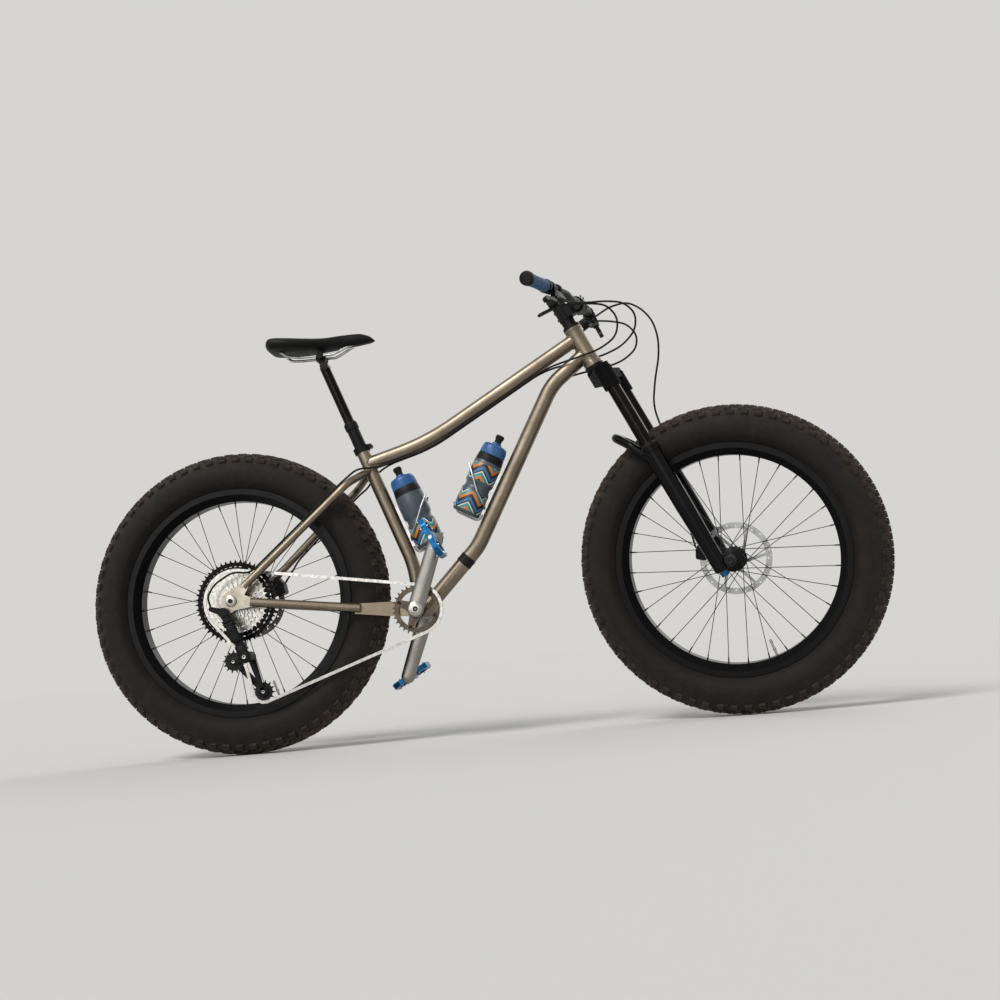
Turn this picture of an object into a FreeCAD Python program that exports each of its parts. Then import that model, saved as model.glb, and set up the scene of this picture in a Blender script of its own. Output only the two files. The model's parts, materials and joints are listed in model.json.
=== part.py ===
import FreeCAD, Part
import math
import os
import Sketcher
from FreeCAD import Placement, Rotation, Vector

# Fat tyre bicycle, millimetres: +X points forward, +Y to the rider's left, +Z up.
# The origin is on the ground, midway between the two axles.

DOC = FreeCAD.newDocument("fat_tyre_bike")
SHEET = DOC.addObject("Spreadsheet::Sheet", "dims")

DRIVING = {
    # wheels
    "wheelbase": 1240, "tyre_dia": 762, "tyre_width": 116, "tyre_wall": 6,
    "rim_dia": 572, "rim_width": 80, "spoke_count": 32, "spoke_dia": 2.2,
    "front_hub_width": 150, "rear_hub_width": 197, "front_axle_dia": 15, "rear_axle_dia": 12,
    "rotor_dia": 180, "rotor_thick": 1.8,
    # frame
    "rear_centre": 456, "bb_height": 323, "bb_width": 132, "bb_dia": 46,
    "head_angle": 65, "head_length": 110, "head_dia": 43, "fork_length": 595, "fork_offset": 52,
    "seat_angle": 70, "seat_tube_dia": 34, "top_tube_dia": 35, "down_tube_dia": 39,
    "chainstay_dia": 22, "seatstay_dia": 19, "dropout_thick": 7,
    # fork
    "steer_turn": 11, "leg_spacing": 174, "leg_offset": 24, "stanchion_dia": 34, "lower_dia": 44,
    "steerer_dia": 28.6,
    # drive
    "link_pitch": 12.7, "ring_teeth": 30, "cog_teeth": 39, "pulley_teeth": 13, "link_count": 118,
    "cog_step": 3.75, "cog_thick": 1.6, "ring_line": 75, "cog_line": 61,
    "crank_length": 175, "crank_turn": 21, "crank_face": 107, "crank_thick": 13, "spindle_dia": 24,
    "pedal_width": 100, "pedal_length": 104, "pedal_thick": 14,
    # cockpit
    "bar_width": 780, "bar_dia": 22.2, "bar_clamp_dia": 31.8, "bar_sweep": 38, "bar_rise": 14,
    "stem_length": 42, "grip_length": 130, "grip_dia": 31, "hose_dia": 5,
    # seat
    "post_dia": 26, "post_outer_dia": 31, "saddle_length": 282, "saddle_width": 140,
    # bottles
    "bottle_dia": 73, "bottle_length": 216, "cage_wire": 5,
}
for row, (alias, number) in enumerate(DRIVING.items(), start=1):
    SHEET.set("A%d" % row, alias)
    SHEET.set("B%d" % row, str(number))
    SHEET.setAlias("B%d" % row, alias)
DOC.recompute()

PIECES = []
SIDE = Vector(0, 1, 0)
RIGHT, LEFT = -1, 1


def size(alias):
    return float(SHEET.get(alias))


def value(expression):
    return float(SHEET.evalExpression(expression))


def keep(piece, label, place=None):
    """Names a finished piece, and moves it with the group that it belongs to."""
    piece.Label = label
    if place:
        piece.Placement = place.multiply(piece.Placement)
    PIECES.append(piece)
    return piece


def fuse(name, *shapes):
    joined = DOC.addObject("Part::MultiFuse", name)
    joined.Shapes = list(shapes)
    return joined


def cut(name, base, *tools):
    rest = DOC.addObject("Part::Cut", name)
    rest.Base = base
    rest.Tool = tools[0] if len(tools) == 1 else fuse(name + "_tools", *tools)
    return rest


def group(name, *shapes):
    bunch = DOC.addObject("Part::Compound", name)
    bunch.Links = list(shapes)
    return bunch


def mirror(name, source):
    twin = DOC.addObject("Part::Mirroring", name)
    twin.Source = source
    twin.Normal = SIDE
    return twin


def rod(name, radius, start, end):
    """A cylinder from start to end; radius is an expression."""
    cylinder = DOC.addObject("Part::Cylinder", name)
    cylinder.setExpression("Radius", radius)
    cylinder.Height = (end - start).Length
    cylinder.Placement = Placement(start, Rotation(Vector(0, 0, 1), end - start))
    return cylinder


def block(name, low, high):
    box = DOC.addObject("Part::Box", name)
    box.Length, box.Width, box.Height = high - low
    box.Placement = Placement(low, Rotation())
    return box


def outline_sketch(body, name):
    sketch = body.newObject("Sketcher::SketchObject", name)
    planes = [feature for feature in body.Origin.OriginFeatures if feature.Role == "XY_Plane"]
    sketch.AttachmentSupport = (planes[0], [""])
    sketch.MapMode = "FlatFace"
    return sketch


def turned(name, outline, centre=Vector(), along=SIDE):
    """A turned body; outline lists corners as (radius, distance along the axis) expressions."""
    body = DOC.addObject("PartDesign::Body", name)
    sketch = outline_sketch(body, name + "_outline")
    corners = [Vector(value(radius), value(distance), 0) for radius, distance in outline]
    count = len(corners)
    for i in range(count):
        sketch.addGeometry(Part.LineSegment(corners[i], corners[(i + 1) % count]))
    for i in range(count):
        sketch.addConstraint(Sketcher.Constraint("Coincident", i, 2, (i + 1) % count, 1))
    for i, corner in enumerate(outline):
        for kind, axis, expression in (("DistanceX", -2, corner[0]), ("DistanceY", -1, corner[1])):
            amount = value(expression)
            if abs(amount) < 1e-9:
                sketch.addConstraint(Sketcher.Constraint("PointOnObject", i, 1, axis))
            else:
                held = sketch.addConstraint(Sketcher.Constraint(kind, -1, 1, i, 1, amount))
                sketch.setExpression("Constraints[%d]" % held, expression)
    turn = body.newObject("PartDesign::Revolution", name + "_turn")
    turn.Profile = sketch
    turn.ReferenceAxis = (sketch, ["V_Axis"])
    turn.Angle = 360
    body.Placement = Placement(centre, Rotation(SIDE, along))
    return body


def corners(points, radius):
    """Edges of a path through the points, with an arc of the given radius at each inner point.
    Without a radius, each arc is as large as its two runs allow."""
    edges = []
    start = points[0]
    for i in range(1, len(points) - 1):
        before, here, after = points[i - 1], points[i], points[i + 1]
        come, go = before - here, after - here
        half_turn = (math.pi - come.getAngle(go)) / 2
        shorter = min(come.Length, go.Length)
        reach = radius * math.tan(half_turn) if radius else 0.45 * shorter
        come.normalize()
        go.normalize()
        bend = reach / math.tan(half_turn)
        inward = (come + go).normalize()
        middle = here + inward * (bend / math.cos(half_turn) - bend)
        edges.append(Part.LineSegment(start, here + come * reach))
        edges.append(Part.Arc(here + come * reach, middle, here + go * reach))
        start = here + go * reach
    edges.append(Part.LineSegment(start, points[-1]))
    return edges


def swept(name, points, radius, bend=None):
    """A round tube along straight runs and tangent arcs; radius is an expression."""
    path = DOC.addObject("Part::Feature", name + "_path")
    path.Shape = Part.Wire([edge.toShape() for edge in corners(points, bend)])
    section = DOC.addObject("Part::Circle", name + "_section")
    section.setExpression("Radius", radius)
    section.Placement = Placement(points[0], Rotation(Vector(0, 0, 1), points[1] - points[0]))
    tube = DOC.addObject("Part::Sweep", name)
    tube.Sections = [section]
    tube.Spine = (path, [])
    tube.Solid = True
    tube.Frenet = False
    return tube


def polygon(points):
    count = len(points)
    return [Part.LineSegment(points[i], points[(i + 1) % count]) for i in range(count)]


def rounded(points, radius):
    """A closed outline with rounded corners."""
    middle = (points[0] + points[-1]) * 0.5
    edges = corners([middle] + points + [middle], radius)
    return edges


def strap(start, end, start_radius, end_radius):
    """The outline of a bar with round ends of two radii."""
    along = end - start
    lean = math.asin((start_radius - end_radius) / along.Length)
    heading = math.atan2(along.y, along.x)

    def rim(centre, radius, angle):
        return centre + Vector(math.cos(angle), math.sin(angle), 0) * radius

    low, high = heading - math.pi / 2 + lean, heading + math.pi / 2 - lean
    return [Part.LineSegment(rim(start, start_radius, low), rim(end, end_radius, low)),
            Part.Arc(rim(end, end_radius, low), rim(end, end_radius, heading), rim(end, end_radius, high)),
            Part.LineSegment(rim(end, end_radius, high), rim(start, start_radius, high)),
            Part.Arc(rim(start, start_radius, high), rim(start, start_radius, heading + math.pi),
                     rim(start, start_radius, low))]


def plate(name, outline, thick, place=None, holes=()):
    """A plate padded from a flat outline; holes are further outlines; thick is an expression."""
    body = DOC.addObject("PartDesign::Body", name)
    sketch = outline_sketch(body, name + "_outline")
    sketch.addGeometry(list(outline))
    for hole in holes:
        sketch.addGeometry(list(hole))
    pad = body.newObject("PartDesign::Pad", name + "_pad")
    pad.Profile = sketch
    pad.setExpression("Length", thick)
    if place:
        body.Placement = place
    return body


def circle(centre, radius):
    return [Part.Circle(centre, Vector(0, 0, 1), radius)]


def from_side(left_face):
    """Stands a flat outline up in the X-Z plane; its thickness runs to the right of left_face."""
    return Placement(Vector(0, left_face, 0), Rotation(Vector(1, 0, 0), 90))


def flat(point):
    """A point of the X-Z plane as an outline sees it."""
    return Vector(point.x, point.z, 0)


# Axles, crank axis and the steering axis, from which every other place is measured
REAR = Vector(-size("wheelbase") / 2, 0, size("tyre_dia") / 2)
FRONT = Vector(size("wheelbase") / 2, 0, size("tyre_dia") / 2)
CRANK = REAR + Vector(size("rear_centre"), 0, size("bb_height") - REAR.z)
LEAN = math.radians(size("head_angle"))
UP_HEAD = Vector(-math.cos(LEAN), 0, math.sin(LEAN))
AHEAD = Vector(math.sin(LEAN), 0, math.cos(LEAN))
FOOT = FRONT - AHEAD * size("fork_offset")
FORK = Placement(FOOT, Rotation(SIDE, size("head_angle") - 90))
STEER = Placement(Vector(), Rotation(UP_HEAD, -size("steer_turn")), FOOT)
STEERED_FORK = STEER.multiply(FORK)


def along_head(up, ahead=0, side=0):
    """A point of the unturned fork: up the steering axis, ahead of it, and to its left."""
    return FOOT + UP_HEAD * up + AHEAD * ahead + SIDE * side


HEAD_LOW = size("fork_length")
HEAD_TOP = HEAD_LOW + size("head_length")
SEAT_LEAN = math.radians(90 - size("seat_angle"))
UP_SEAT = Vector(-math.sin(SEAT_LEAN), 0, math.cos(SEAT_LEAN))
AHEAD_SEAT = Vector(math.cos(SEAT_LEAN), 0, math.sin(SEAT_LEAN))
SEAT_TOP = CRANK + Vector(-123, 0, 422)
SEAT_BEND = SEAT_TOP - UP_SEAT * 325


def along_seat(up, ahead=0, side=0):
    """A point by the seat tube's straight part: up from its top end, ahead and to the left."""
    return SEAT_TOP + UP_SEAT * up + AHEAD_SEAT * ahead + SIDE * side


# Frame: welded tubes, each mitred by the tubes that it meets
head_envelope = rod("head_envelope", "dims.head_dia / 2", along_head(HEAD_LOW), along_head(HEAD_TOP))
keep(turned("head_tube", [
    ("19", "dims.fork_length"), ("dims.head_dia / 2 + 2", "dims.fork_length"),
    ("dims.head_dia / 2 + 2", "dims.fork_length + 9"), ("dims.head_dia / 2", "dims.fork_length + 13"),
    ("dims.head_dia / 2", "dims.fork_length + dims.head_length - 9"),
    ("dims.head_dia / 2 + 1", "dims.fork_length + dims.head_length - 6"),
    ("dims.head_dia / 2 + 1", "dims.fork_length + dims.head_length"),
    ("19", "dims.fork_length + dims.head_length")], FOOT, UP_HEAD), "head_tube")

upper_cup = turned("upper_cup", [
    ("15", "dims.fork_length + dims.head_length - 14"), ("18.9", "dims.fork_length + dims.head_length - 14"),
    ("18.9", "dims.fork_length + dims.head_length"), ("23", "dims.fork_length + dims.head_length"),
    ("22", "dims.fork_length + dims.head_length + 8"), ("15", "dims.fork_length + dims.head_length + 8")],
    FOOT, UP_HEAD)
lower_cup = turned("lower_cup", [
    ("15", "dims.fork_length - 11.5"), ("24.5", "dims.fork_length - 11.5"), ("25", "dims.fork_length"),
    ("18.9", "dims.fork_length"), ("18.9", "dims.fork_length + 16"), ("15", "dims.fork_length + 16")],
    FOOT, UP_HEAD)
keep(group("headset_pair", upper_cup, lower_cup), "headset_cups")

bb_barrel = rod("bb_barrel", "dims.bb_dia / 2", CRANK - SIDE * 66, CRANK + SIDE * 66)
seat_envelope = rod("seat_envelope", "dims.seat_tube_dia / 2", SEAT_BEND, SEAT_TOP)

TOP_FRONT = along_head(HEAD_LOW + 83)
TOP_BEND = CRANK + Vector(50, 0, 423)
TOP_REAR = CRANK + Vector(-108, 0, 380)
top_path = [TOP_REAR, TOP_BEND, TOP_FRONT]
keep(cut("top_mitred", swept("top_bent", top_path, "dims.top_tube_dia / 2", 600), head_envelope,
         seat_envelope), "top_tube")

DOWN_TOP = along_head(HEAD_LOW + 38)
DOWN_BENDS = [CRANK + Vector(374, 0, 536), CRANK + Vector(155, 0, 146)]
DOWN_END = CRANK + Vector(8, 0, -2)
down_bent = swept("down_bent", [DOWN_TOP] + DOWN_BENDS + [DOWN_END], "dims.down_tube_dia / 2", 150)
keep(cut("down_mitred", down_bent, head_envelope, bb_barrel), "down_tube")

seat_bent = swept("seat_bent", [SEAT_TOP, SEAT_BEND, CRANK], "dims.seat_tube_dia / 2", 250)
seat_bore = rod("seat_bore", "dims.post_outer_dia / 2 + 0.1", along_seat(-280), along_seat(1))
keep(cut("seat_mitred", seat_bent, seat_bore, bb_barrel, down_bent), "seat_tube")

# Bottom bracket shell, with the flat machined yoke that slips between tyre and chainring
YOKE_OUT, YOKE_THICK = 70.5, 9
bb_tube = turned("bb_tube", [
    ("17", "-dims.bb_width / 2"), ("dims.bb_dia / 2", "-dims.bb_width / 2"),
    ("dims.bb_dia / 2", "dims.bb_width / 2"), ("17", "dims.bb_width / 2")], CRANK)
yoke_points = [CRANK + Vector(*corner) for corner in
               ((0, 0, 17), (-60, 0, 24), (-156, 0, 27), (-156, 0, 2), (-60, 0, -12), (0, 0, -17))]
yoke = plate("yoke", polygon([flat(point) for point in yoke_points]), str(YOKE_THICK),
             from_side(YOKE_THICK - YOKE_OUT))
yoke_trim = rod("yoke_trim", "dims.bb_dia / 2 - 1", CRANK - SIDE * 80, CRANK - SIDE * 50)
cups = [turned("bb_cup", [
    ("dims.spindle_dia / 2 + 0.4", str(side * 50)), ("16.9", str(side * 50)),
    ("16.9", str(side * 66.05)), ("21.5", str(side * 66.05)), ("21.5", str(side * 74)),
    ("dims.spindle_dia / 2 + 0.4", str(side * 74))], CRANK) for side in (RIGHT, LEFT)]
keep(fuse("bb_welded", bb_tube, cut("yoke_trimmed", yoke, yoke_trim), *cups), "bb_shell")

# Dropout plates: round bosses at the axle with an arm for each stay, and the hanger on the right
CHAINSTAY_END = REAR + Vector(48, 0, -6)
SEATSTAY_END = REAR + Vector(33, 0, 33)
HANGER = REAR + Vector(-18, 0, -27)
DROP_IN = size("rear_hub_width") / 2


def dropout(name, left_face, arms):
    pieces = [plate(name + "_arm", strap(flat(REAR), flat(end), 24, radius), "dims.dropout_thick",
                    from_side(left_face)) for end, radius in arms]
    holes = [rod(name + "_axle_hole", "dims.rear_axle_dia / 2 + 0.05", REAR - SIDE * 120, REAR + SIDE * 120),
             rod(name + "_bolt_hole", "5", HANGER - SIDE * 120, HANGER - SIDE * 80)]
    return cut(name, fuse(name + "_blank", *pieces), *holes)


stay_arms = [(CHAINSTAY_END + Vector(16, 0, -2), 8), (SEATSTAY_END + Vector(11, 0, 10), 7)]
drop_right = dropout("drop_right", -DROP_IN, stay_arms + [(HANGER, 11)])
drop_left = dropout("drop_left", DROP_IN + size("dropout_thick"), stay_arms)
keep(group("dropout_pair", drop_right, drop_left), "dropouts")

DROP_MID = DROP_IN + size("dropout_thick") / 2
stay_rear = CHAINSTAY_END - SIDE * DROP_MID
stay_front = CRANK + Vector(-142, -74, 15)
chainstay_right = cut("chainstay_right", rod("chainstay_tube", "dims.chainstay_dia / 2", stay_rear, stay_front),
                      drop_right, yoke)
left_path = [CHAINSTAY_END + SIDE * DROP_MID, CRANK + Vector(-128, 74, 14), CRANK + Vector(-5, 44, 2)]
chainstay_left = cut("chainstay_left", swept("chainstay_bent", left_path, "dims.chainstay_dia / 2", 150),
                     drop_left, bb_barrel)
keep(group("chainstay_pair", chainstay_right, chainstay_left), "chainstays")

STAY_TOP = along_seat(-62)


def seatstay(name, side, drop):
    path = [STAY_TOP + SIDE * side * 6, CRANK + Vector(-152, side * 71, 327), SEATSTAY_END + SIDE * side * DROP_MID]
    return cut(name, swept(name + "_bent", path, "dims.seatstay_dia / 2", 45), seat_envelope, drop)


stay_right = seatstay("stay_right", RIGHT, drop_right)
stay_left = seatstay("stay_left", LEFT, drop_left)
keep(fuse("stay_wishbone", stay_right, stay_left), "seatstays")

keep(turned("rear_bolt", [
    ("0", "-109"), ("9", "-109"), ("9", "-105.6"), ("dims.rear_axle_dia / 2", "-105.6"),
    ("dims.rear_axle_dia / 2", "105.6"), ("10", "105.6"), ("10", "111"), ("0", "111")], REAR), "rear_axle")

# Seat clamp and dropper post
clamp_ring = turned("clamp_ring", [
    ("dims.seat_tube_dia / 2 + 0.05", "-12"), ("dims.seat_tube_dia / 2 + 4", "-12"),
    ("dims.seat_tube_dia / 2 + 4", "3"), ("dims.post_outer_dia / 2 + 0.3", "3"),
    ("dims.post_outer_dia / 2 + 0.3", "0.1"), ("dims.seat_tube_dia / 2 + 0.05", "0.1")], SEAT_TOP, UP_SEAT)
clamp_bolt = rod("clamp_bolt", "5.5", along_seat(-4.5, 24, -11), along_seat(-4.5, 24, 11))
clamp_core = rod("clamp_core", "dims.seat_tube_dia / 2 + 0.05", along_seat(-30), along_seat(30))
keep(cut("clamp_bored", fuse("clamp_blank", clamp_ring, clamp_bolt), clamp_core), "seat_clamp")

POST_LOW, COLLAR, POST_TOP = -232, 52, 234
keep(turned("dropper_tube", [
    ("dims.post_dia / 2 + 0.3", str(POST_LOW)), ("dims.post_outer_dia / 2", str(POST_LOW)),
    ("dims.post_outer_dia / 2", str(COLLAR)), ("dims.post_outer_dia / 2 + 2", str(COLLAR + 2)),
    ("dims.post_outer_dia / 2 + 2", str(COLLAR + 17)), ("dims.post_dia / 2 + 1.5", str(COLLAR + 22)),
    ("dims.post_dia / 2 + 0.3", str(COLLAR + 22))], SEAT_TOP, UP_SEAT), "dropper_outer")
post_tube = turned("post_tube", [
    ("0", "-95"), ("dims.post_dia / 2", "-95"), ("dims.post_dia / 2", str(POST_TOP)), ("0", str(POST_TOP))],
    SEAT_TOP, UP_SEAT)
RAIL_Z, RAIL_Y, RAIL_DIA = 668, 22, 7
SADDLE_MID = CRANK + Vector(-208, 0, RAIL_Z)
post_head = rod("post_head", "11", along_seat(POST_TOP, 2, -17), along_seat(POST_TOP, 2, 17))
cradle = rod("cradle", "13", SADDLE_MID + Vector(0, -17, -6), SADDLE_MID + Vector(0, 17, -6))
post_blank = fuse("post_blank", post_tube, post_head)
keep(cut("post_cut", post_blank, cradle), "dropper_post")

# Saddle: two rails, the clamp that grips them, and a padded cushion with a crown and drawn-in sides
SECTIONS = [(-0.500, 0.30, 27, 47), (-0.440, 0.45, 17, 56), (-0.300, 0.50, 13, 53), (-0.140, 0.44, 13, 48),
            (0.040, 0.30, 14, 46), (0.210, 0.19, 17, 50), (0.370, 0.145, 21, 50), (0.455, 0.115, 24, 42),
            (0.500, 0.06, 26, 33)]


def saddle_section(along, half, low, high):
    x = SADDLE_MID.x + along * size("saddle_length")
    wide = half * size("saddle_width")
    foot, waist = SADDLE_MID.z + low, SADDLE_MID.z + low + 0.45 * (high - low)
    shoulder, crown = SADDLE_MID.z + low + 0.85 * (high - low), SADDLE_MID.z + high

    def at(y, z):
        return Vector(x, y, z)

    sides = [Part.Arc(at(side * 0.86 * wide, foot), at(side * wide, waist), at(side * 0.80 * wide, shoulder))
             for side in (RIGHT, LEFT)]
    crown_arc = Part.Arc(at(-0.80 * wide, shoulder), at(0, crown), at(0.80 * wide, shoulder))
    base = Part.LineSegment(at(-0.86 * wide, foot), at(0.86 * wide, foot))
    return Part.Wire(Part.__sortEdges__([edge.toShape() for edge in (base, sides[0], crown_arc, sides[1])]))


cushion = DOC.addObject("Part::Feature", "cushion")
cushion.Shape = Part.makeLoft([saddle_section(*section) for section in SECTIONS], True)
keep(cushion, "saddle")


def rail(name, side):
    points = [(-112, 40, 26), (-84, 30, 4), (-52, RAIL_Y, 0), (34, RAIL_Y, 0), (78, 14, 20), (112, 8, 32)]
    path = [SADDLE_MID + Vector(x, side * y, z) for x, y, z in points]
    return cut(name, swept(name + "_wire", path, "%g / 2" % RAIL_DIA, 26), cushion)


rails = group("rail_pair", rail("rail_right", RIGHT), rail("rail_left", LEFT))
keep(rails, "saddle_rails")
clamp_wings = rod("clamp_wings", "9", SADDLE_MID - SIDE * 31, SADDLE_MID + SIDE * 31)
rail_ways = [rod("rail_way", "%g / 2 + 0.05" % RAIL_DIA, SADDLE_MID + Vector(-40, side * RAIL_Y, 0),
                 SADDLE_MID + Vector(33, side * RAIL_Y, 0)) for side in (RIGHT, LEFT)]
keep(cut("clamp_grooved", fuse("clamp_body", cradle, clamp_wings), *rail_ways), "saddle_clamp")

# Fork: steerer, crown and stanchions turn with the bar; the lowers slide on the stanchions
HALF_LEGS = size("leg_spacing") / 2
LEG_AHEAD = size("leg_offset")
CROWN_TOP = HEAD_LOW - 12


def fork_rod(name, radius, ahead, side, low, high):
    return rod(name, radius, Vector(ahead, side, low), Vector(ahead, side, high))


def leg_pair(name, radius, low, high):
    return [fork_rod(name, radius, LEG_AHEAD, side * HALF_LEGS, low, high) for side in (RIGHT, LEFT)]


crown_arms = [plate("crown_arm", strap(Vector(0, 0, 0), Vector(LEG_AHEAD, side * HALF_LEGS, 0), 27, 20), "27",
                    Placement(Vector(0, 0, CROWN_TOP - 38), Rotation())) for side in (RIGHT, LEFT)]
crown_blank = fuse("crown_blank", fork_rod("crown_boss", "27", 0, 0, CROWN_TOP - 38, CROWN_TOP - 0.5),
                   fork_rod("steerer", "dims.steerer_dia / 2", 0, 0, CROWN_TOP - 1, HEAD_TOP + 74),
                   *crown_arms, *leg_pair("crown_collar", "22.5", 508, 562))
keep(cut("crown_bored", crown_blank, *leg_pair("crown_bore", "dims.stanchion_dia / 2", 500, 556)),
     "fork_crown", STEERED_FORK)
keep(group("stanchion_pair", *leg_pair("stanchion", "dims.stanchion_dia / 2", 205, 556)),
     "stanchions", STEERED_FORK)

LEG_TOP = 336
legs = [turned("lower_leg", [
    ("0", "-14"), ("15", "-14"), ("19", "-8"), ("19.5", "60"), ("dims.lower_dia / 2", "170"),
    ("dims.lower_dia / 2", str(LEG_TOP - 16)), ("dims.lower_dia / 2 + 1.5", str(LEG_TOP - 12)),
    ("dims.lower_dia / 2 + 1.5", str(LEG_TOP)), ("dims.stanchion_dia / 2 + 0.35", str(LEG_TOP)),
    ("dims.stanchion_dia / 2 + 0.35", "70"), ("0", "70")],
    Vector(LEG_AHEAD, side * HALF_LEGS, 0), Vector(0, 0, 1)) for side in (RIGHT, LEFT)]
AXLE_AHEAD = size("fork_offset")
AXLE_POINT = Vector(AXLE_AHEAD, 0, 0)
HUB_FACE = size("front_hub_width") / 2
drop_lugs = [plate("drop_lug", strap(Vector(LEG_AHEAD, 14, 0), Vector(AXLE_AHEAD, 0, 0), 18, 15), "20",
                   from_side(left)) for left in (-HUB_FACE - 2, HUB_FACE + 22)]
axle_bosses = [rod("axle_boss", "15", AXLE_POINT + SIDE * side * HUB_FACE, AXLE_POINT + SIDE * side * (HUB_FACE + 23))
               for side in (RIGHT, LEFT)]
arch_half = [(14, 87, 300), (-14, 81, 362), (-42, 46, 404)]
arch_path = [Vector(*point) for point in arch_half]
arch_path += [Vector(x, -y, z) for x, y, z in reversed(arch_half)]
arch = swept("arch", arch_path, "11", 34)
axle_way = rod("axle_way", "dims.front_axle_dia / 2 + 0.05", AXLE_POINT - SIDE * 130, AXLE_POINT + SIDE * 130)
keep(cut("lowers_bored", fuse("lowers_cast", *legs, *drop_lugs, *axle_bosses, arch), axle_way,
         *leg_pair("lower_bore", "dims.stanchion_dia / 2 + 0.35", 70, 400)), "fork_lowers", STEERED_FORK)
keep(turned("front_bolt", [
    ("0", "-102.5"), ("9.5", "-102.5"), ("9.5", "-98.1"), ("dims.front_axle_dia / 2", "-98.1"),
    ("dims.front_axle_dia / 2", "98.5"), ("0", "98.5")], AXLE_POINT), "front_axle", STEERED_FORK)
keep(turned("knob", [("0", "-14.4"), ("0", "-27"), ("8", "-27"), ("10", "-25"), ("10", "-14.4")],
            Vector(LEG_AHEAD, -HALF_LEGS, 0), Vector(0, 0, 1)), "rebound_knob", STEERED_FORK)


def caliper(name, left_face, thick, radial, disc_centre, disc_y):
    """A two-piece brake caliper: a rounded block, slotted for the rotor."""
    outward = radial * 83
    across = Vector(-radial.y, radial.x, 0)
    points = [disc_centre + outward + radial * u + across * v
              for u, v in ((-13, -22), (13, -24), (19, 0), (13, 24), (-13, 22))]
    shell = plate(name + "_shell", rounded(points, 6), str(thick), from_side(left_face))
    middle = Vector(disc_centre.x, disc_y, disc_centre.y)
    slot = rod(name + "_slot", "dims.rotor_dia / 2 + 2.5", middle - SIDE * 2.2, middle + SIDE * 2.2)
    return shell, slot


FRONT_DISC_Y, REAR_DISC_Y = 60, 78
front_shell, front_slot = caliper("front_caliper_body", 82, 34, Vector(-0.733, 0.680, 0),
                                  Vector(AXLE_AHEAD, 0, 0), FRONT_DISC_Y)
front_leg_trim = leg_pair("leg_trim", "dims.lower_dia / 2 + 0.1", -20, LEG_TOP)[1]
keep(cut("front_caliper_cut", front_shell, front_slot, front_leg_trim), "front_caliper", STEERED_FORK)
rear_shell, rear_slot = caliper("rear_caliper_body", 100, 38, Vector(0.906, 0.423, 0), flat(REAR), REAR_DISC_Y)
keep(cut("rear_caliper_cut", rear_shell, rear_slot, chainstay_left, stay_left, drop_left), "rear_caliper")

# Wheels: tyre, rim, hub with laced spokes, and a drilled brake rotor
TYRE = "dims.tyre_dia / 2 - dims.tyre_width / 2"
BULGE = "dims.tyre_width / 2"
BEAD = "dims.rim_dia / 2 - 13"


def tyre(name, centre):
    """The casing: a ring of rubber open towards the rim, from bead to bead."""
    steps = [-34, -14, 6, 26, 46, 66, 78]
    outer = [("%s + (%s) * sin(%g)" % (TYRE, BULGE, a), "(%s) * cos(%g)" % (BULGE, a)) for a in steps]
    crown = [("dims.tyre_dia / 2", "0")]
    inside = "(%s - dims.tyre_wall)" % BULGE
    inner = [("%s + %s * sin(%g)" % (TYRE, inside, a), "%s * cos(%g)" % (inside, a)) for a in (60, 20, -20)]
    foot_out = [("dims.rim_dia / 2 + 1.5", "dims.rim_width / 2 - 3.3"), (BEAD, "dims.rim_width / 2 - 3.3")]
    foot_in = [("dims.rim_dia / 2 + 4", "dims.rim_width / 2 - 8"), (BEAD, "dims.rim_width / 2 - 8")]
    half = foot_out[::-1] + outer
    back = inner + foot_in
    def far(points):
        return [(radius, "-(%s)" % distance) for radius, distance in points]
    return turned(name, half + crown + far(half)[::-1] + far(back)[::-1] + back, centre)


def rim(name, centre):
    half = [("dims.rim_dia / 2", "dims.rim_width / 2 - 3"), ("dims.rim_dia / 2", "dims.rim_width / 2"),
            ("dims.rim_dia / 2 - 14", "dims.rim_width / 2"), ("dims.rim_dia / 2 - 30", "dims.rim_width / 2 - 20")]
    well = [("dims.rim_dia / 2 - 24", "10"), (BEAD, "dims.rim_width / 2 - 12"), (BEAD, "dims.rim_width / 2 - 3")]
    def far(points):
        return [(radius, "-(%s)" % distance) for radius, distance in points]
    return turned(name, half + far(half)[::-1] + far(well)[::-1] + well, centre)


def spokes(name, centre, flanges, eyelet=26):
    """Spokes crossed three times, from the flange faces to the rim bed, as slim square wires."""
    bed = size("rim_dia") / 2 - 30.2
    half = size("spoke_dia") / 2
    count = int(size("spoke_count"))
    step = 2 * math.pi / count
    wires = []
    for number in range(count):
        side = number % 2
        pair = number // 2
        lead = 1 if pair % 2 else -1
        start_turn = number * step
        end_turn = start_turn + lead * 6 * step
        flange = flanges[side] + lead * (2.6 + half)
        rim_y = (RIGHT, LEFT)[side] * 12
        start = Vector(eyelet * math.cos(start_turn), flange, eyelet * math.sin(start_turn))
        end = Vector(bed * math.cos(end_turn), rim_y, bed * math.sin(end_turn))
        wire = DOC.addObject("Part::Box", name)
        wire.setExpression("Length", "dims.spoke_dia")
        wire.setExpression("Width", "dims.spoke_dia")
        wire.Height = (end - start).Length
        turn = Rotation(Vector(0, 0, 1), end - start)
        corner = start - turn.multVec(Vector(half, half, 0))
        wire.Placement = Placement(centre + corner, turn)
        wires.append(wire)
    return wires


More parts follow.
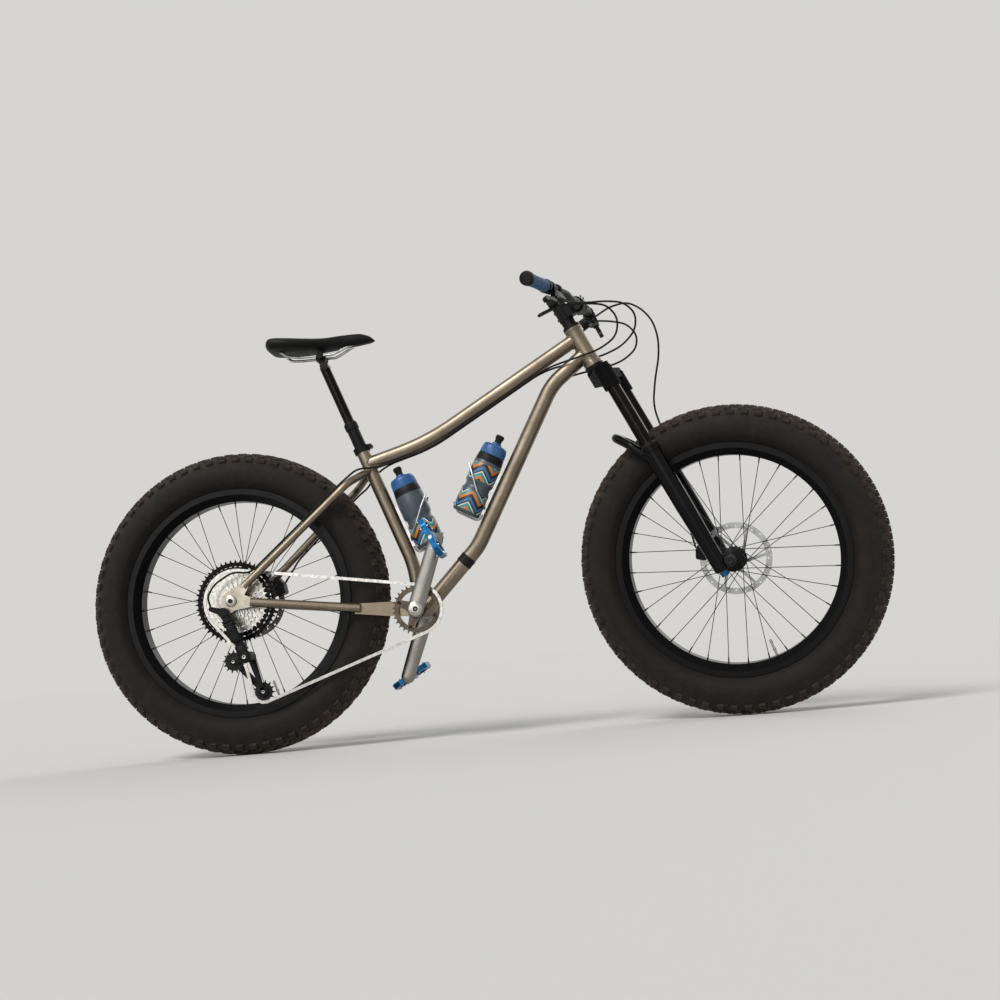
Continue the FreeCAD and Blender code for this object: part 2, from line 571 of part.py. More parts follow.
def rotor(name, centre, y):
    """A steel disc: drilled brake ring carried by six swept arms."""
    outer, inner, boss = size("rotor_dia") / 2, size("rotor_dia") / 2 - 15, 22
    ring = plate(name + "_ring", circle(Vector(), outer), "dims.rotor_thick", None, [circle(Vector(), inner)])
    hub_ring = plate(name + "_boss", circle(Vector(), boss), "dims.rotor_thick", None, [circle(Vector(), 13)])
    arms = []
    for arm in range(6):
        turn = math.radians(60 * arm)
        sweep = turn + math.radians(38)
        start = Vector(math.cos(turn), math.sin(turn), 0) * (boss - 3)
        end = Vector(math.cos(sweep), math.sin(sweep), 0) * (inner + 3)
        arms.append(plate(name + "_arm", strap(start, end, 4.5, 3.5), "dims.rotor_thick"))
    disc = fuse(name + "_disc", ring, hub_ring, *arms)
    slots = []
    for slot in range(24):
        turn = math.radians(15 * slot)
        at = Vector(math.cos(turn), math.sin(turn), 0) * (outer - (5 if slot % 2 else 10))
        slots.append(rod(name + "_hole", "2.4", at - Vector(0, 0, 1), at + Vector(0, 0, 4)))
    drilled = cut(name + "_drilled", disc, *slots)
    drilled.Placement = from_side(y).multiply(Placement(Vector(centre.x, centre.z, 0), Rotation()))
    return drilled


front_hub = turned("front_hub_shell", [
    ("7.9", "0.4 - dims.front_hub_width / 2"), ("11", "0.4 - dims.front_hub_width / 2"), ("11", "-50"),
    ("18", "-44"), ("30", "-36.6"), ("30", "-33.4"), ("17", "-27"), ("17", "27"), ("30", "33.4"), ("30", "36.6"),
    ("21", "42"), ("21", "58.9"), ("11", "58.9"), ("11", "dims.front_hub_width / 2 - 0.4"),
    ("7.9", "dims.front_hub_width / 2 - 0.4")], AXLE_POINT)
keep(tyre("tyre_front", AXLE_POINT), "front_tyre", STEERED_FORK)
keep(rim("rim_front", AXLE_POINT), "front_rim", STEERED_FORK)
keep(group("laced_front", front_hub, *spokes("front_spoke", AXLE_POINT, (-35, 35))), "front_hub", STEERED_FORK)
keep(rotor("rotor_front", AXLE_POINT, FRONT_DISC_Y + size("rotor_thick") / 2), "front_rotor", STEERED_FORK)

rear_hub = turned("rear_hub_shell", [
    ("6.3", "0.4 - dims.rear_hub_width / 2"), ("9", "0.4 - dims.rear_hub_width / 2"), ("9", "-50.4"),
    ("20", "-50.4"), ("20", "-42"), ("31", "-36.6"), ("31", "-33.4"), ("18", "-27"), ("18", "40"), ("31", "46.4"),
    ("31", "49.6"), ("22", "56"), ("22", "76.9"), ("12", "76.9"), ("12", "dims.rear_hub_width / 2 - 0.4"),
    ("6.3", "dims.rear_hub_width / 2 - 0.4")], REAR)
keep(tyre("tyre_rear", REAR), "rear_tyre")
keep(rim("rim_rear", REAR), "rear_rim")
keep(group("laced_rear", rear_hub, *spokes("rear_spoke", REAR, (-35, 48))), "rear_hub")
keep(rotor("rotor_rear", REAR, REAR_DISC_Y + size("rotor_thick") / 2), "rear_rotor")

# Drive: a chain loop over chainring, cog and two pulleys, whose rollers sit in the tooth valleys
PITCH = size("link_pitch")
RING_Y, COG_Y = -size("ring_line"), -size("cog_line")
CAGE_PIVOT = REAR + Vector(31, 0, -139)
GUIDE_ARM, TENSION_ARM = Vector(-46, 2, 0), Vector(4, -92, 0)


def pitch_radius(teeth):
    return teeth * PITCH / (2 * math.pi)


def chain_circles(cage_turn):
    """Centre, radius and turning sense of the four toothed wheels, in the order of the chain."""
    swing = Rotation(Vector(0, 0, 1), cage_turn)
    guide = flat(CAGE_PIVOT) + swing.multVec(GUIDE_ARM)
    tension = flat(CAGE_PIVOT) + swing.multVec(TENSION_ARM)
    pulley = pitch_radius(size("pulley_teeth"))
    return [(flat(REAR), pitch_radius(size("cog_teeth")), 1), (guide, pulley, -1), (tension, pulley, 1),
            (flat(CRANK), pitch_radius(size("ring_teeth")), 1)]


def chain_runs(circles):
    """Straight tangent runs between one toothed wheel and the next."""
    runs = []
    for i, (here, here_radius, here_sense) in enumerate(circles):
        there, there_radius, there_sense = circles[(i + 1) % len(circles)]
        along = there - here
        spread = math.acos((there_sense * there_radius - here_sense * here_radius) / along.Length)
        normal_turn = math.atan2(along.y, along.x) + spread
        normal = Vector(math.cos(normal_turn), math.sin(normal_turn), 0)
        runs.append((here - normal * here_sense * here_radius, there - normal * there_sense * there_radius))
    return runs


def chain_pieces(circles):
    """The loop as (length, point at a distance) spans: a wrap on each wheel, then its run."""
    runs = chain_runs(circles)
    spans = []
    for i, (centre, radius, sense) in enumerate(circles):
        enter, leave = runs[i - 1][1] - centre, runs[i][0] - centre
        start = math.atan2(enter.y, enter.x)
        wrap = (sense * (math.atan2(leave.y, leave.x) - start)) % (2 * math.pi)
        spans.append((wrap * radius, "wrap", (centre, radius, sense, start)))
        spans.append(((runs[i][1] - runs[i][0]).Length, "run", runs[i]))
    return spans


def loop_length(cage_turn):
    return sum(span[0] for span in chain_pieces(chain_circles(cage_turn)))


low, high = -25.0, 25.0
for halving in range(50):
    middle = (low + high) / 2
    longer = loop_length(middle) > size("link_count") * PITCH
    growing = loop_length(high) > loop_length(low)
    if longer == growing:
        high = middle
    else:
        low = middle
CAGE_TURN = (low + high) / 2
CIRCLES = chain_circles(CAGE_TURN)
SPANS = chain_pieces(CIRCLES)


SQUARE_RUN = 38


def chain_point(distance):
    """A roller's place on the loop. The long runs slant between cog and ring, and leave the teeth square."""
    for number, (length, kind, form) in enumerate(SPANS):
        if distance <= length:
            break
        distance -= length
    if kind == "wrap":
        centre, radius, sense, start = form
        turn = start + sense * distance / radius
        at = centre + Vector(math.cos(turn), math.sin(turn), 0) * radius
        y = RING_Y if number == 6 else COG_Y
    else:
        at = form[0] + (form[1] - form[0]) * (distance / length)
        slant = min(1, max(0, (distance - SQUARE_RUN) / (length - 2 * SQUARE_RUN)))
        y = {5: COG_Y + (RING_Y - COG_Y) * slant, 7: RING_Y + (COG_Y - RING_Y) * slant}.get(number, COG_Y)
    return Vector(at.x, y, at.y)


ROLLERS = [chain_point(number * PITCH) for number in range(int(size("link_count")))]
INNER_FACE, MID_FACE, OUTER_FACE = 1.05, 1.70, 2.40


def link_plate(start, end, near, far):
    """One side plate with pointed ends, spanning two rollers, between two distances from the middle."""
    along = (end - start).normalize()
    aside = along.cross(SIDE).normalize()
    across = aside.cross(along)
    rest = [(-3.9, 0), (-2.0, 3.7), (PITCH + 2.0, 3.7), (PITCH + 3.9, 0), (PITCH + 2.0, -3.7), (-2.0, -3.7)]
    ring = [start + along * u + aside * v + across * near for u, v in rest]
    return Part.Face(Part.makePolygon(ring + ring[:1])).extrude(across * (far - near))


def roller(start, end):
    along = (end - start).normalize()
    aside = along.cross(SIDE).normalize()
    across = aside.cross(along)
    ring = [start + along * (3.6 * math.cos(k * math.pi / 3)) + aside * (3.6 * math.sin(k * math.pi / 3))
            - across * INNER_FACE for k in range(6)]
    return Part.Face(Part.makePolygon(ring + ring[:1])).extrude(across * (2 * INNER_FACE))


links = []
for number, start in enumerate(ROLLERS):
    end = ROLLERS[(number + 1) % len(ROLLERS)]
    near, far = (INNER_FACE, MID_FACE) if number % 2 else (MID_FACE, OUTER_FACE)
    links.append(link_plate(start, end, near, far))
    links.append(link_plate(start, end, -near, -far))
    links.append(roller(start, end))
chain = DOC.addObject("Part::Feature", "roller_chain")
chain.Shape = Part.makeCompound(links)
keep(chain, "chain")


def tooth_outline(centre, teeth, seat=None):
    """Pointed teeth and flat valleys; one valley faces seat, where a roller sits."""
    radius = pitch_radius(teeth)
    start = math.atan2(seat.y - centre.y, seat.x - centre.x) if seat else 0
    points = []
    for tooth in range(int(teeth)):
        valley = start + 2 * math.pi * tooth / teeth
        for reach, turn in ((radius - 3.9, -3.0 / radius), (radius - 3.9, 3.0 / radius),
                            (radius + 3.8, math.pi / teeth)):
            points.append(centre + Vector(math.cos(valley + turn), math.sin(valley + turn), 0) * reach)
    return polygon(points)


def seat_on(circle_number):
    """The roller that sits nearest to the middle of a wheel's wrap."""
    centre = CIRCLES[circle_number][0]
    before = sum(span[0] for span in SPANS[:2 * circle_number])
    nearest = round((before + SPANS[2 * circle_number][0] / 2) / PITCH) % len(ROLLERS)
    return flat(ROLLERS[nearest])


def ring_plate(name, teeth, centre, y, bore, seat=None):
    return plate(name, tooth_outline(centre, teeth, seat), "dims.cog_thick",
                 from_side(y + size("cog_thick") / 2), [circle(centre, bore)])


# Cassette: twelve cogs, the four largest as rings on a six-armed carrier
COG_TEETH = [51, 45, 39, 33, 28, 24, 21, 18, 16, 14, 12, 10]
FREEHUB = 15
cassette_parts = []
for number, teeth in enumerate(COG_TEETH):
    y = COG_Y + (2 - number) * size("cog_step")
    bore = pitch_radius(teeth) - 14 if teeth > 30 else FREEHUB - 1
    seat = seat_on(0) if teeth == size("cog_teeth") else None
    cassette_parts.append(ring_plate("cog_%d" % teeth, teeth, flat(REAR), y, bore, seat))
carrier_left = COG_Y + 2 * size("cog_step") - size("cog_thick") / 2
for arm in range(6):
    turn = math.radians(60 * arm + 12)
    outward = Vector(math.cos(turn), math.sin(turn), 0)
    for layer, reach in enumerate((86, 64, 62, 51)):
        arm_outline = strap(flat(REAR), flat(REAR) + outward * reach, 9, 5)
        cassette_parts.append(plate("carrier_arm", arm_outline, "dims.cog_step - dims.cog_thick",
                                    from_side(carrier_left - layer * size("cog_step"))))
sleeve = rod("freehub_sleeve", str(FREEHUB), REAR - SIDE * 97.2, REAR - SIDE * 51)
lockring = rod("lockring", "13.5", REAR - SIDE * 97.6, REAR - SIDE * 96)
hub_way = rod("hub_way", "9.5", REAR - SIDE * 110, REAR - SIDE * 40)
keep(cut("cassette_bored", fuse("cassette_stack", *cassette_parts, sleeve, lockring), hub_way), "cassette")

# Chainset: chainring on a four-armed spider, forged arms, pedal axles and platform pedals
CRANK_TURN = math.radians(size("crank_turn"))
REACH = Vector(math.sin(CRANK_TURN), 0, math.cos(CRANK_TURN)) * size("crank_length")
PEDAL_RIGHT, PEDAL_LEFT = CRANK + REACH, CRANK - REACH
FACE = size("crank_face")
teeth_ring = ring_plate("ring_teeth_plate", size("ring_teeth"), flat(CRANK), RING_Y, 46, seat_on(3))
inner_ring = plate("ring_body", circle(flat(CRANK), 53.5), "4", from_side(RING_Y + 0.8), [circle(flat(CRANK), 45)])
spider = []
for arm in range(4):
    turn = math.radians(90 * arm + 66)
    tip = flat(CRANK) + Vector(math.cos(turn), math.sin(turn), 0) * 48
    spider.append(plate("spider_arm", strap(flat(CRANK), tip, 16, 7), "5", from_side(RING_Y - 1.2)))
spider_boss = rod("spider_boss", "19", CRANK + SIDE * (RING_Y - 0.5), CRANK + SIDE * (RING_Y - 6.5))
spindle_way = rod("spindle_way", "dims.spindle_dia / 2 + 0.05", CRANK - SIDE * 120, CRANK + SIDE * 120)
keep(cut("ring_bored", fuse("ring_blank", teeth_ring, inner_ring, *spider, spider_boss), spindle_way), "chainring")


def crank_arm(name, pedal, left_face, hub_start, hub_end):
    arm = plate(name + "_arm", strap(flat(CRANK), flat(pedal), 16.5, 13), "dims.crank_thick", from_side(left_face))
    boss = rod(name + "_boss", "18", CRANK + SIDE * hub_start, CRANK + SIDE * hub_end)
    hole = rod(name + "_pedal_hole", "7", pedal - SIDE * 120, pedal + SIDE * 120)
    return arm, boss, hole


arm, boss, hole = crank_arm("crank_drive", PEDAL_RIGHT, size("crank_thick") - FACE, -82, -FACE)
spindle = rod("spindle", "dims.spindle_dia / 2", CRANK - SIDE * 90, CRANK + SIDE * (FACE - 3))
keep(cut("crank_drive", fuse("crank_drive_blank", arm, boss, spindle), hole), "crank_right")
arm, boss, hole = crank_arm("crank_far", PEDAL_LEFT, FACE, 79, FACE)
keep(cut("crank_far", fuse("crank_far_blank", arm, boss), hole, spindle_way), "crank_left")

PEDAL_IN = FACE + 7


def pedal_axle(name, centre, side):
    return turned(name, [("0", str(side * (FACE - 12))), ("6.95", str(side * (FACE - 12))), ("6.95", str(side * (FACE + 0.1))),
                         ("9", str(side * (FACE + 0.1))), ("9", str(side * (FACE + 4))),
                         ("5.5", str(side * (FACE + 4))), ("5.5", str(side * (FACE + 98))),
                         ("0", str(side * (FACE + 98)))], Vector(centre.x, 0, centre.z))


keep(group("pedal_axle_pair", pedal_axle("axle_right", PEDAL_RIGHT, RIGHT),
           pedal_axle("axle_left", PEDAL_LEFT, LEFT)), "pedal_axles")


def pedal(name, centre, side, tilt):
    """A platform with two windows either side of the axle barrel, tilted about the axle."""
    half, wide, thick = size("pedal_length") / 2, size("pedal_width") / 2, size("pedal_thick")

    def corner(u, v):
        return Vector(u, v, 0)

    edge = [corner(-half, -wide + 14), corner(-half + 20, -wide), corner(half - 20, -wide), corner(half, -wide + 14),
            corner(half, wide - 14), corner(half - 20, wide), corner(-half + 20, wide), corner(-half, wide - 14)]
    windows = [rounded([corner(s * 14, -wide + 13), corner(s * 38, -wide + 13), corner(s * 41, 0),
                        corner(s * 38, wide - 13), corner(s * 14, wide - 13)][::s], 5) for s in (1, -1)]
    deck = plate(name + "_deck", rounded(edge, 8), "dims.pedal_thick", Placement(Vector(0, 0, -thick / 2), Rotation()),
                 windows)
    barrel = rod(name + "_barrel", "9.5", Vector(0, -wide + 1, 0), Vector(0, wide - 1, 0))
    bore = rod(name + "_bore", "5.8", Vector(0, -wide - 5, 0), Vector(0, wide + 5, 0))
    whole = cut(name, fuse(name + "_blank", deck, barrel), bore)
    middle = Vector(centre.x, side * (PEDAL_IN + wide), centre.z)
    whole.Placement = Placement(middle, Rotation(SIDE, tilt))
    return whole


keep(pedal("platform_right", PEDAL_RIGHT, RIGHT, 64), "pedal_right")
keep(pedal("platform_left", PEDAL_LEFT, LEFT, -31), "pedal_left")

# Rear derailleur: hanger knuckle, two parallel links, body, sprung cage and two toothed pulleys
LINK_TOP = REAR + Vector(-5, 0, -56)
LINK_LOW = REAR + Vector(20, 0, -113)
LINK_UP = (LINK_TOP - LINK_LOW).normalize()
LINK_AXIS = SIDE.cross(LINK_UP)
LINK_OUT, LINK_IN = -119, -106
knuckle_bolt = rod("knuckle_bolt", "4.9", HANGER - SIDE * 97.5, HANGER - SIDE * 106)
knuckle_barrel = rod("knuckle_barrel", "12", HANGER - SIDE * 105.6, HANGER - SIDE * 124)
LINK_SPAN = LINK_LOW - LINK_TOP
LINK_FRAME = Rotation(LINK_SPAN, SIDE, LINK_AXIS, "ZXY")


def link(name, y):
    """A flat link between an upper and a lower pivot."""
    place = Placement(LINK_TOP + SIDE * y - LINK_AXIS * 9, LINK_FRAME)
    outline = strap(Vector(0, 0, 0), Vector(LINK_SPAN.Length, 0, 0), 4.5, 4.5)
    holes = [circle(Vector(at, 0, 0), 2.8) for at in (0, LINK_SPAN.Length)]
    return plate(name, outline, "18", place, holes)


keep(link("link_outer", LINK_OUT), "derailleur_link_outer")
keep(link("link_inner", LINK_IN), "derailleur_link_inner")


def pin_ears(name, centre, towards):
    """Two ears above and below the link ends, joined by a web, with a pin through each link."""
    ears = []
    for lift in (9.4, -12.9):
        place = Placement(centre + LINK_AXIS * lift, LINK_FRAME)
        ears.append(plate(name + "_ear", strap(Vector(0, LINK_OUT, 0), Vector(0, LINK_IN, 0), 5, 5), "3.5", place))
    pins = [rod(name + "_pin", "2.5", centre + SIDE * y - LINK_AXIS * 12, centre + SIDE * y + LINK_AXIS * 12)
            for y in (LINK_OUT, LINK_IN)]
    web_centre = centre + towards * 9
    web = DOC.addObject("Part::Box", name + "_web")
    web.Length, web.Width, web.Height = 6, 22, 25.8
    place = Placement(web_centre + SIDE * (LINK_OUT - 5), LINK_FRAME)
    web.Placement = place.multiply(Placement(Vector(-3, 0, -12.9), Rotation()))
    return ears + pins + [web]


top_ears = pin_ears("knuckle", LINK_TOP, LINK_UP)
knuckle_web = plate("knuckle_web", strap(flat(HANGER), flat(LINK_TOP + LINK_UP * 15), 11, 9),
                    "16", from_side(-106))
CABLE_STOP = REAR + Vector(-48, 0, -16)
cable_arm = plate("cable_arm", strap(flat(HANGER), flat(CABLE_STOP), 9, 6), "8", from_side(-110))
keep(fuse("knuckle", knuckle_bolt, knuckle_barrel, knuckle_web, cable_arm, *top_ears), "derailleur_mount")

low_ears = pin_ears("body", LINK_LOW, LINK_UP * -1)
body_web = plate("body_web", strap(flat(LINK_LOW - LINK_UP * 15), flat(CAGE_PIVOT), 9, 12),
                 "18", from_side(-104))
body_barrel = rod("body_barrel", "13", CAGE_PIVOT - SIDE * 122, CAGE_PIVOT - SIDE * 76)
body_axle = rod("body_axle", "4.9", CAGE_PIVOT - SIDE * 80, CAGE_PIVOT - SIDE * 66)
keep(fuse("derailleur_core", body_web, body_barrel, body_axle, *low_ears), "derailleur_body")

GUIDE, TENSION = (Vector(CIRCLES[i][0].x, 0, CIRCLES[i][0].y) for i in (1, 2))


def cage_plate(name, left_face, thick):
    arms = [plate(name + "_arm", strap(flat(GUIDE), flat(TENSION), 11, 11), str(thick), from_side(left_face)),
            plate(name + "_heel", strap(flat(CAGE_PIVOT), flat(GUIDE), 13, 11), str(thick), from_side(left_face)),
            plate(name + "_toe", strap(flat(CAGE_PIVOT), flat(TENSION), 13, 9), str(thick), from_side(left_face))]
    return fuse(name, *arms)


outer_plate = cage_plate("cage_outer", COG_Y - 5.2, 2)
inner_plate = plate("cage_inner", strap(flat(GUIDE), flat(TENSION), 11, 11), "2", from_side(COG_Y + 7.2))
pulley_bolts = [rod("pulley_bolt", "2.6", at + SIDE * (COG_Y - 7), at + SIDE * (COG_Y + 7)) for at in (GUIDE, TENSION)]
cage_boss = rod("cage_boss", "10", CAGE_PIVOT + SIDE * (COG_Y - 7), CAGE_PIVOT + SIDE * (COG_Y - 14.5))
axle_room = rod("axle_room", "5.2", CAGE_PIVOT - SIDE * 100, CAGE_PIVOT - SIDE * 50)
keep(cut("cage_bored", fuse("cage_blank", outer_plate, inner_plate, cage_boss, *pulley_bolts), axle_room),
     "derailleur_cage")
for label, at, number in (("guide_pulley", GUIDE, 1), ("tension_pulley", TENSION, 2)):
    wheel = ring_plate(label + "_teeth", size("pulley_teeth"), flat(at), COG_Y, 3, seat_on(number))
    bush = rod(label + "_bush", "7", at + SIDE * (COG_Y - 4.6), at + SIDE * (COG_Y + 4.6))
    way = rod(label + "_way", "3", at + SIDE * (COG_Y - 9), at + SIDE * (COG_Y + 9))
    keep(cut(label + "_bored", fuse(label + "_blank", wheel, bush), way), label)

# Cockpit: spacers, stem, swept bar, grips, brake masters, gear and post remotes, all on the steerer
STEM_LOW = HEAD_TOP + 26
BAR_UP = HEAD_TOP + 43
keep(turned("spacer_stack", [
    ("dims.steerer_dia / 2 + 0.05", str(HEAD_TOP + 8.3)), ("18", str(HEAD_TOP + 8.3)), ("17", str(HEAD_TOP + 16)),
    ("17.5", str(HEAD_TOP + 16.4)), ("17.5", str(STEM_LOW)), ("dims.steerer_dia / 2 + 0.05", str(STEM_LOW))],
    Vector(), Vector(0, 0, 1)), "headset_spacers", STEERED_FORK)

BAR_LOCAL = Vector(size("stem_length"), 0, BAR_UP)
stem_clamp = fork_rod("stem_clamp", "19", 0, 0, STEM_LOW, STEM_LOW + 40)
stem_cap = fork_rod("stem_cap", "17", 0, 0, STEM_LOW + 40, STEM_LOW + 46)
stem_neck = plate("stem_neck", strap(Vector(0, STEM_LOW + 20, 0), Vector(BAR_LOCAL.x, BAR_LOCAL.z, 0), 16, 15),
                  "34", from_side(17))
face_clamp = rod("face_clamp", "21", BAR_LOCAL - SIDE * 25, BAR_LOCAL + SIDE * 25)
steerer_way = fork_rod("steerer_way", "dims.steerer_dia / 2 + 0.05", 0, 0, STEM_LOW - 5, HEAD_TOP + 74.1)
bar_way = rod("bar_way", "dims.bar_clamp_dia / 2 + 0.05", BAR_LOCAL - SIDE * 40, BAR_LOCAL + SIDE * 40)
keep(cut("stem_bored", fuse("stem_blank", stem_clamp, stem_cap, stem_neck, face_clamp), steerer_way, bar_way),
     "stem", STEERED_FORK)

BAR = along_head(BAR_UP, size("stem_length"))
HALF_BAR = size("bar_width") / 2
BAR_BEND = Vector(-2, -130, 9)
BAR_END = Vector(-size("bar_sweep"), -HALF_BAR, size("bar_rise"))
right_half = [BAR + BAR_END, BAR + BAR_BEND, BAR + Vector(0, -62, 0)]
left_half = [Vector(point.x, -point.y, point.z) for point in reversed(right_half)]
bar_tube = swept("bar_tube", right_half + left_half, "dims.bar_dia / 2", 90)
bar_middle = turned("bar_middle", [
    ("0", "-74"), ("dims.bar_dia / 2", "-74"), ("dims.bar_clamp_dia / 2", "-40"), ("dims.bar_clamp_dia / 2", "40"),
    ("dims.bar_dia / 2", "74"), ("0", "74")], BAR)
keep(fuse("bar_butted", bar_tube, bar_middle), "handlebar", STEER)

OUTBOARD = (BAR_END - BAR_BEND).normalize()
GRIP_IN = BAR + BAR_END - OUTBOARD * (size("grip_length") - 2)
grip_right = turned("grip_right", [
    ("dims.bar_dia / 2 + 0.1", "0"), ("dims.grip_dia / 2 + 1.5", "0"), ("dims.grip_dia / 2 + 1.5", "11"),
    ("dims.grip_dia / 2", "13"), ("dims.grip_dia / 2 - 1", "60"), ("dims.grip_dia / 2", "dims.grip_length - 15"),
    ("dims.grip_dia / 2 + 1.5", "dims.grip_length - 11"), ("dims.grip_dia / 2 + 1.5", "dims.grip_length + 2"),
    ("0", "dims.grip_length + 2"), ("0", "dims.grip_length - 1.8"),
    ("dims.bar_dia / 2 + 0.1", "dims.grip_length - 1.8")], GRIP_IN, OUTBOARD)
keep(group("grip_pair", grip_right, mirror("grip_left", grip_right)), "grips", STEER)

# Controls are drawn in a frame by the right grip: x outboard along the bar, y to the lever, z square to both
REACH_DROP = math.radians(62)
reach_way = Vector(math.cos(REACH_DROP), 0, -math.sin(REACH_DROP))
reach_way = (reach_way - OUTBOARD * reach_way.dot(OUTBOARD)).normalize()
CONTROL = Placement(GRIP_IN - OUTBOARD * 20, Rotation(OUTBOARD, reach_way, OUTBOARD.cross(reach_way), "XYZ"))
LEVER_PIVOT = Vector(15, 31, 0)


def placed(piece, place):
    piece.Placement = place.multiply(piece.Placement)
    return piece


def brake_master():
    ring = rod("master_ring", "16", Vector(-6, 0, 0), Vector(6, 0, 0))
    body = rod("master_body", "8.5", Vector(-56, 26, 0), Vector(7, 26, 0))
    tank = plate("master_tank", rounded([Vector(-44, 14, 0), Vector(6, 12, 0), Vector(8, 34, 0), Vector(-44, 35, 0)], 7),
                 "15", Placement(Vector(0, 0, -5), Rotation()))
    ears = [plate("master_ear", strap(Vector(2, 28, 0), LEVER_PIVOT, 9, 7), "3",
                  Placement(Vector(0, 0, low), Rotation())) for low in (5.9, -8.9)]
    pin = rod("master_pin", "2.5", LEVER_PIVOT - Vector(0, 0, 8), LEVER_PIVOT + Vector(0, 0, 8))
    bore = rod("master_bore", "dims.bar_dia / 2 + 0.1", Vector(-30, 0, 0), Vector(30, 0, 0))
    sweep_room = fork_rod("lever_room", "8.5", LEVER_PIVOT.x, LEVER_PIVOT.y, -5.9, 5.9)
    blank = cut("master_relieved", fuse("master_blank", ring, body, tank), bore, sweep_room)
    return placed(fuse("master", blank, *ears, pin), CONTROL)


def brake_blade():
    parts = [plate("blade_root", strap(LEVER_PIVOT, Vector(36, 45, 0), 7, 6), "11"),
             plate("blade_mid", strap(Vector(36, 45, 0), Vector(90, 47, 0), 6, 5), "11"),
             plate("blade_tip", strap(Vector(90, 47, 0), Vector(102, 54, 0), 5, 4.5), "11")]
    hole = fork_rod("blade_hole", "2.8", LEVER_PIVOT.x, LEVER_PIVOT.y, -5, 20)
    blade = cut("blade", fuse("blade_blank", *parts), hole)
    return placed(blade, CONTROL.multiply(Placement(Vector(0, 0, -5.5), Rotation())))


POD_PIVOT = Vector(-46, 0, -24)


def remote_pod(name):
    ring = rod(name + "_ring", "15.5", Vector(-50, 0, 0), Vector(-42, 0, 0))
    pod = plate(name + "_pod", rounded([Vector(-60, 6, 0), Vector(-32, 6, 0), Vector(-32, 30, 0), Vector(-60, 30, 0)], 6),
                "22", Placement(Vector(0, 0, -34), Rotation()))
    pin = rod(name + "_pin", "3", POD_PIVOT + SIDE * 29, POD_PIVOT + SIDE * 35)
    bore = rod(name + "_bore", "dims.bar_dia / 2 + 0.1", Vector(-80, 0, 0), Vector(0, 0, 0))
    return placed(fuse(name, cut(name + "_bored", fuse(name + "_blank", ring, pod), bore), pin), CONTROL)


def thumb_paddle(name):
    """A thumb lever under the pod, turning on its pin."""
    tip = Vector(POD_PIVOT.x + 22, POD_PIVOT.z - 34, 0)
    arm = plate(name + "_arm", strap(Vector(POD_PIVOT.x, POD_PIVOT.z, 0), tip, 8, 8.5), "3.4",
                Placement(Vector(0, 34, 0), Rotation(Vector(1, 0, 0), 90)))
    hole = rod(name + "_hole", "3.3", POD_PIVOT + SIDE * 20, POD_PIVOT + SIDE * 40)
    return placed(cut(name, arm, hole), CONTROL)


master_right = brake_master()
keep(group("master_pair", master_right, mirror("master_left", master_right)), "brake_masters", STEER)
blade_right = brake_blade()
blade_twin = mirror("blade_left", blade_right)
keep(blade_twin, "brake_lever_left", STEER)
keep(group("blade_drive", blade_right), "brake_lever_right", STEER)
pod_right = remote_pod("gear_remote")
keep(group("pod_pair", pod_right, mirror("pod_left", pod_right)), "remote_bodies", STEER)
paddle_right = thumb_paddle("gear_paddle")
keep(mirror("paddle_left", paddle_right), "dropper_lever", STEER)
keep(group("paddle_drive", paddle_right), "shift_lever", STEER)

# Bottles and their wire cages, parallel to the tubes that carry them
DOWN_AXIS = (DOWN_BENDS[0] - DOWN_BENDS[1]).normalize()
DOWN_SQUARE = SIDE.cross(DOWN_AXIS)


def bottle(name, base, axis):
    half = "dims.bottle_dia / 2"
    tall = "dims.bottle_length"
    return turned(name, [
        ("0", "0"), (half + " - 5", "0"), (half, "5"), (half, "62"), (half + " - 4", "68"), (half + " - 4", "78"),
        (half, "84"), (half, "138"), (half + " - 9", tall + " - 56"), (half + " - 5", tall + " - 54"),
        (half + " - 5", tall + " - 40"), ("16", tall + " - 24"), ("9", tall + " - 20"), ("9", tall + " - 12"),
        ("11", tall + " - 9"), ("11", tall + " - 2"), ("9", tall), ("0", tall)], base, axis)


def cage(name, base, axis, back, tube_gap):
    """Back strap on the tube, a foot under the bottle and two arms round it; back points at the tube."""
    turn = Rotation(back, SIDE, axis, "ZXY")
    place = Placement(base, turn)
    wall = size("bottle_dia") / 2 + 0.6
    wire = "dims.cage_wire / 2"
    gap = wall + size("cage_wire") / 2
    strap_bar = block(name + "_strap", Vector(wall, -6, 15), Vector(wall + tube_gap, 6, 125))
    arms = []
    for side in (RIGHT, LEFT):
        points = [Vector(gap, side * 4, 30), Vector(gap - 6, side * 30, 40), Vector(gap - 32, side * gap, 62),
                  Vector(gap - 60, side * (gap - 6), 96), Vector(gap - 80, side * 22, 118)]
        arms.append(swept(name + "_arm", points, wire, 14))
    foot = swept(name + "_foot", [Vector(gap + 1, 0, 30), Vector(gap + 1, 0, -4), Vector(-20, 0, -4),
                                  Vector(-gap, 0, 16)], wire, 12)
    room = turned(name + "_room", [("0", "-0.5"), ("dims.bottle_dia / 2 - 5", "-0.5"),
                                   ("dims.bottle_dia / 2 + 0.4", "5"), ("dims.bottle_dia / 2 + 0.4", "140"),
                                   ("0", "140")], Vector(), Vector(0, 0, 1))
    whole = cut(name, fuse(name + "_blank", strap_bar, foot, *arms), room)
    whole.Placement = place
    return whole


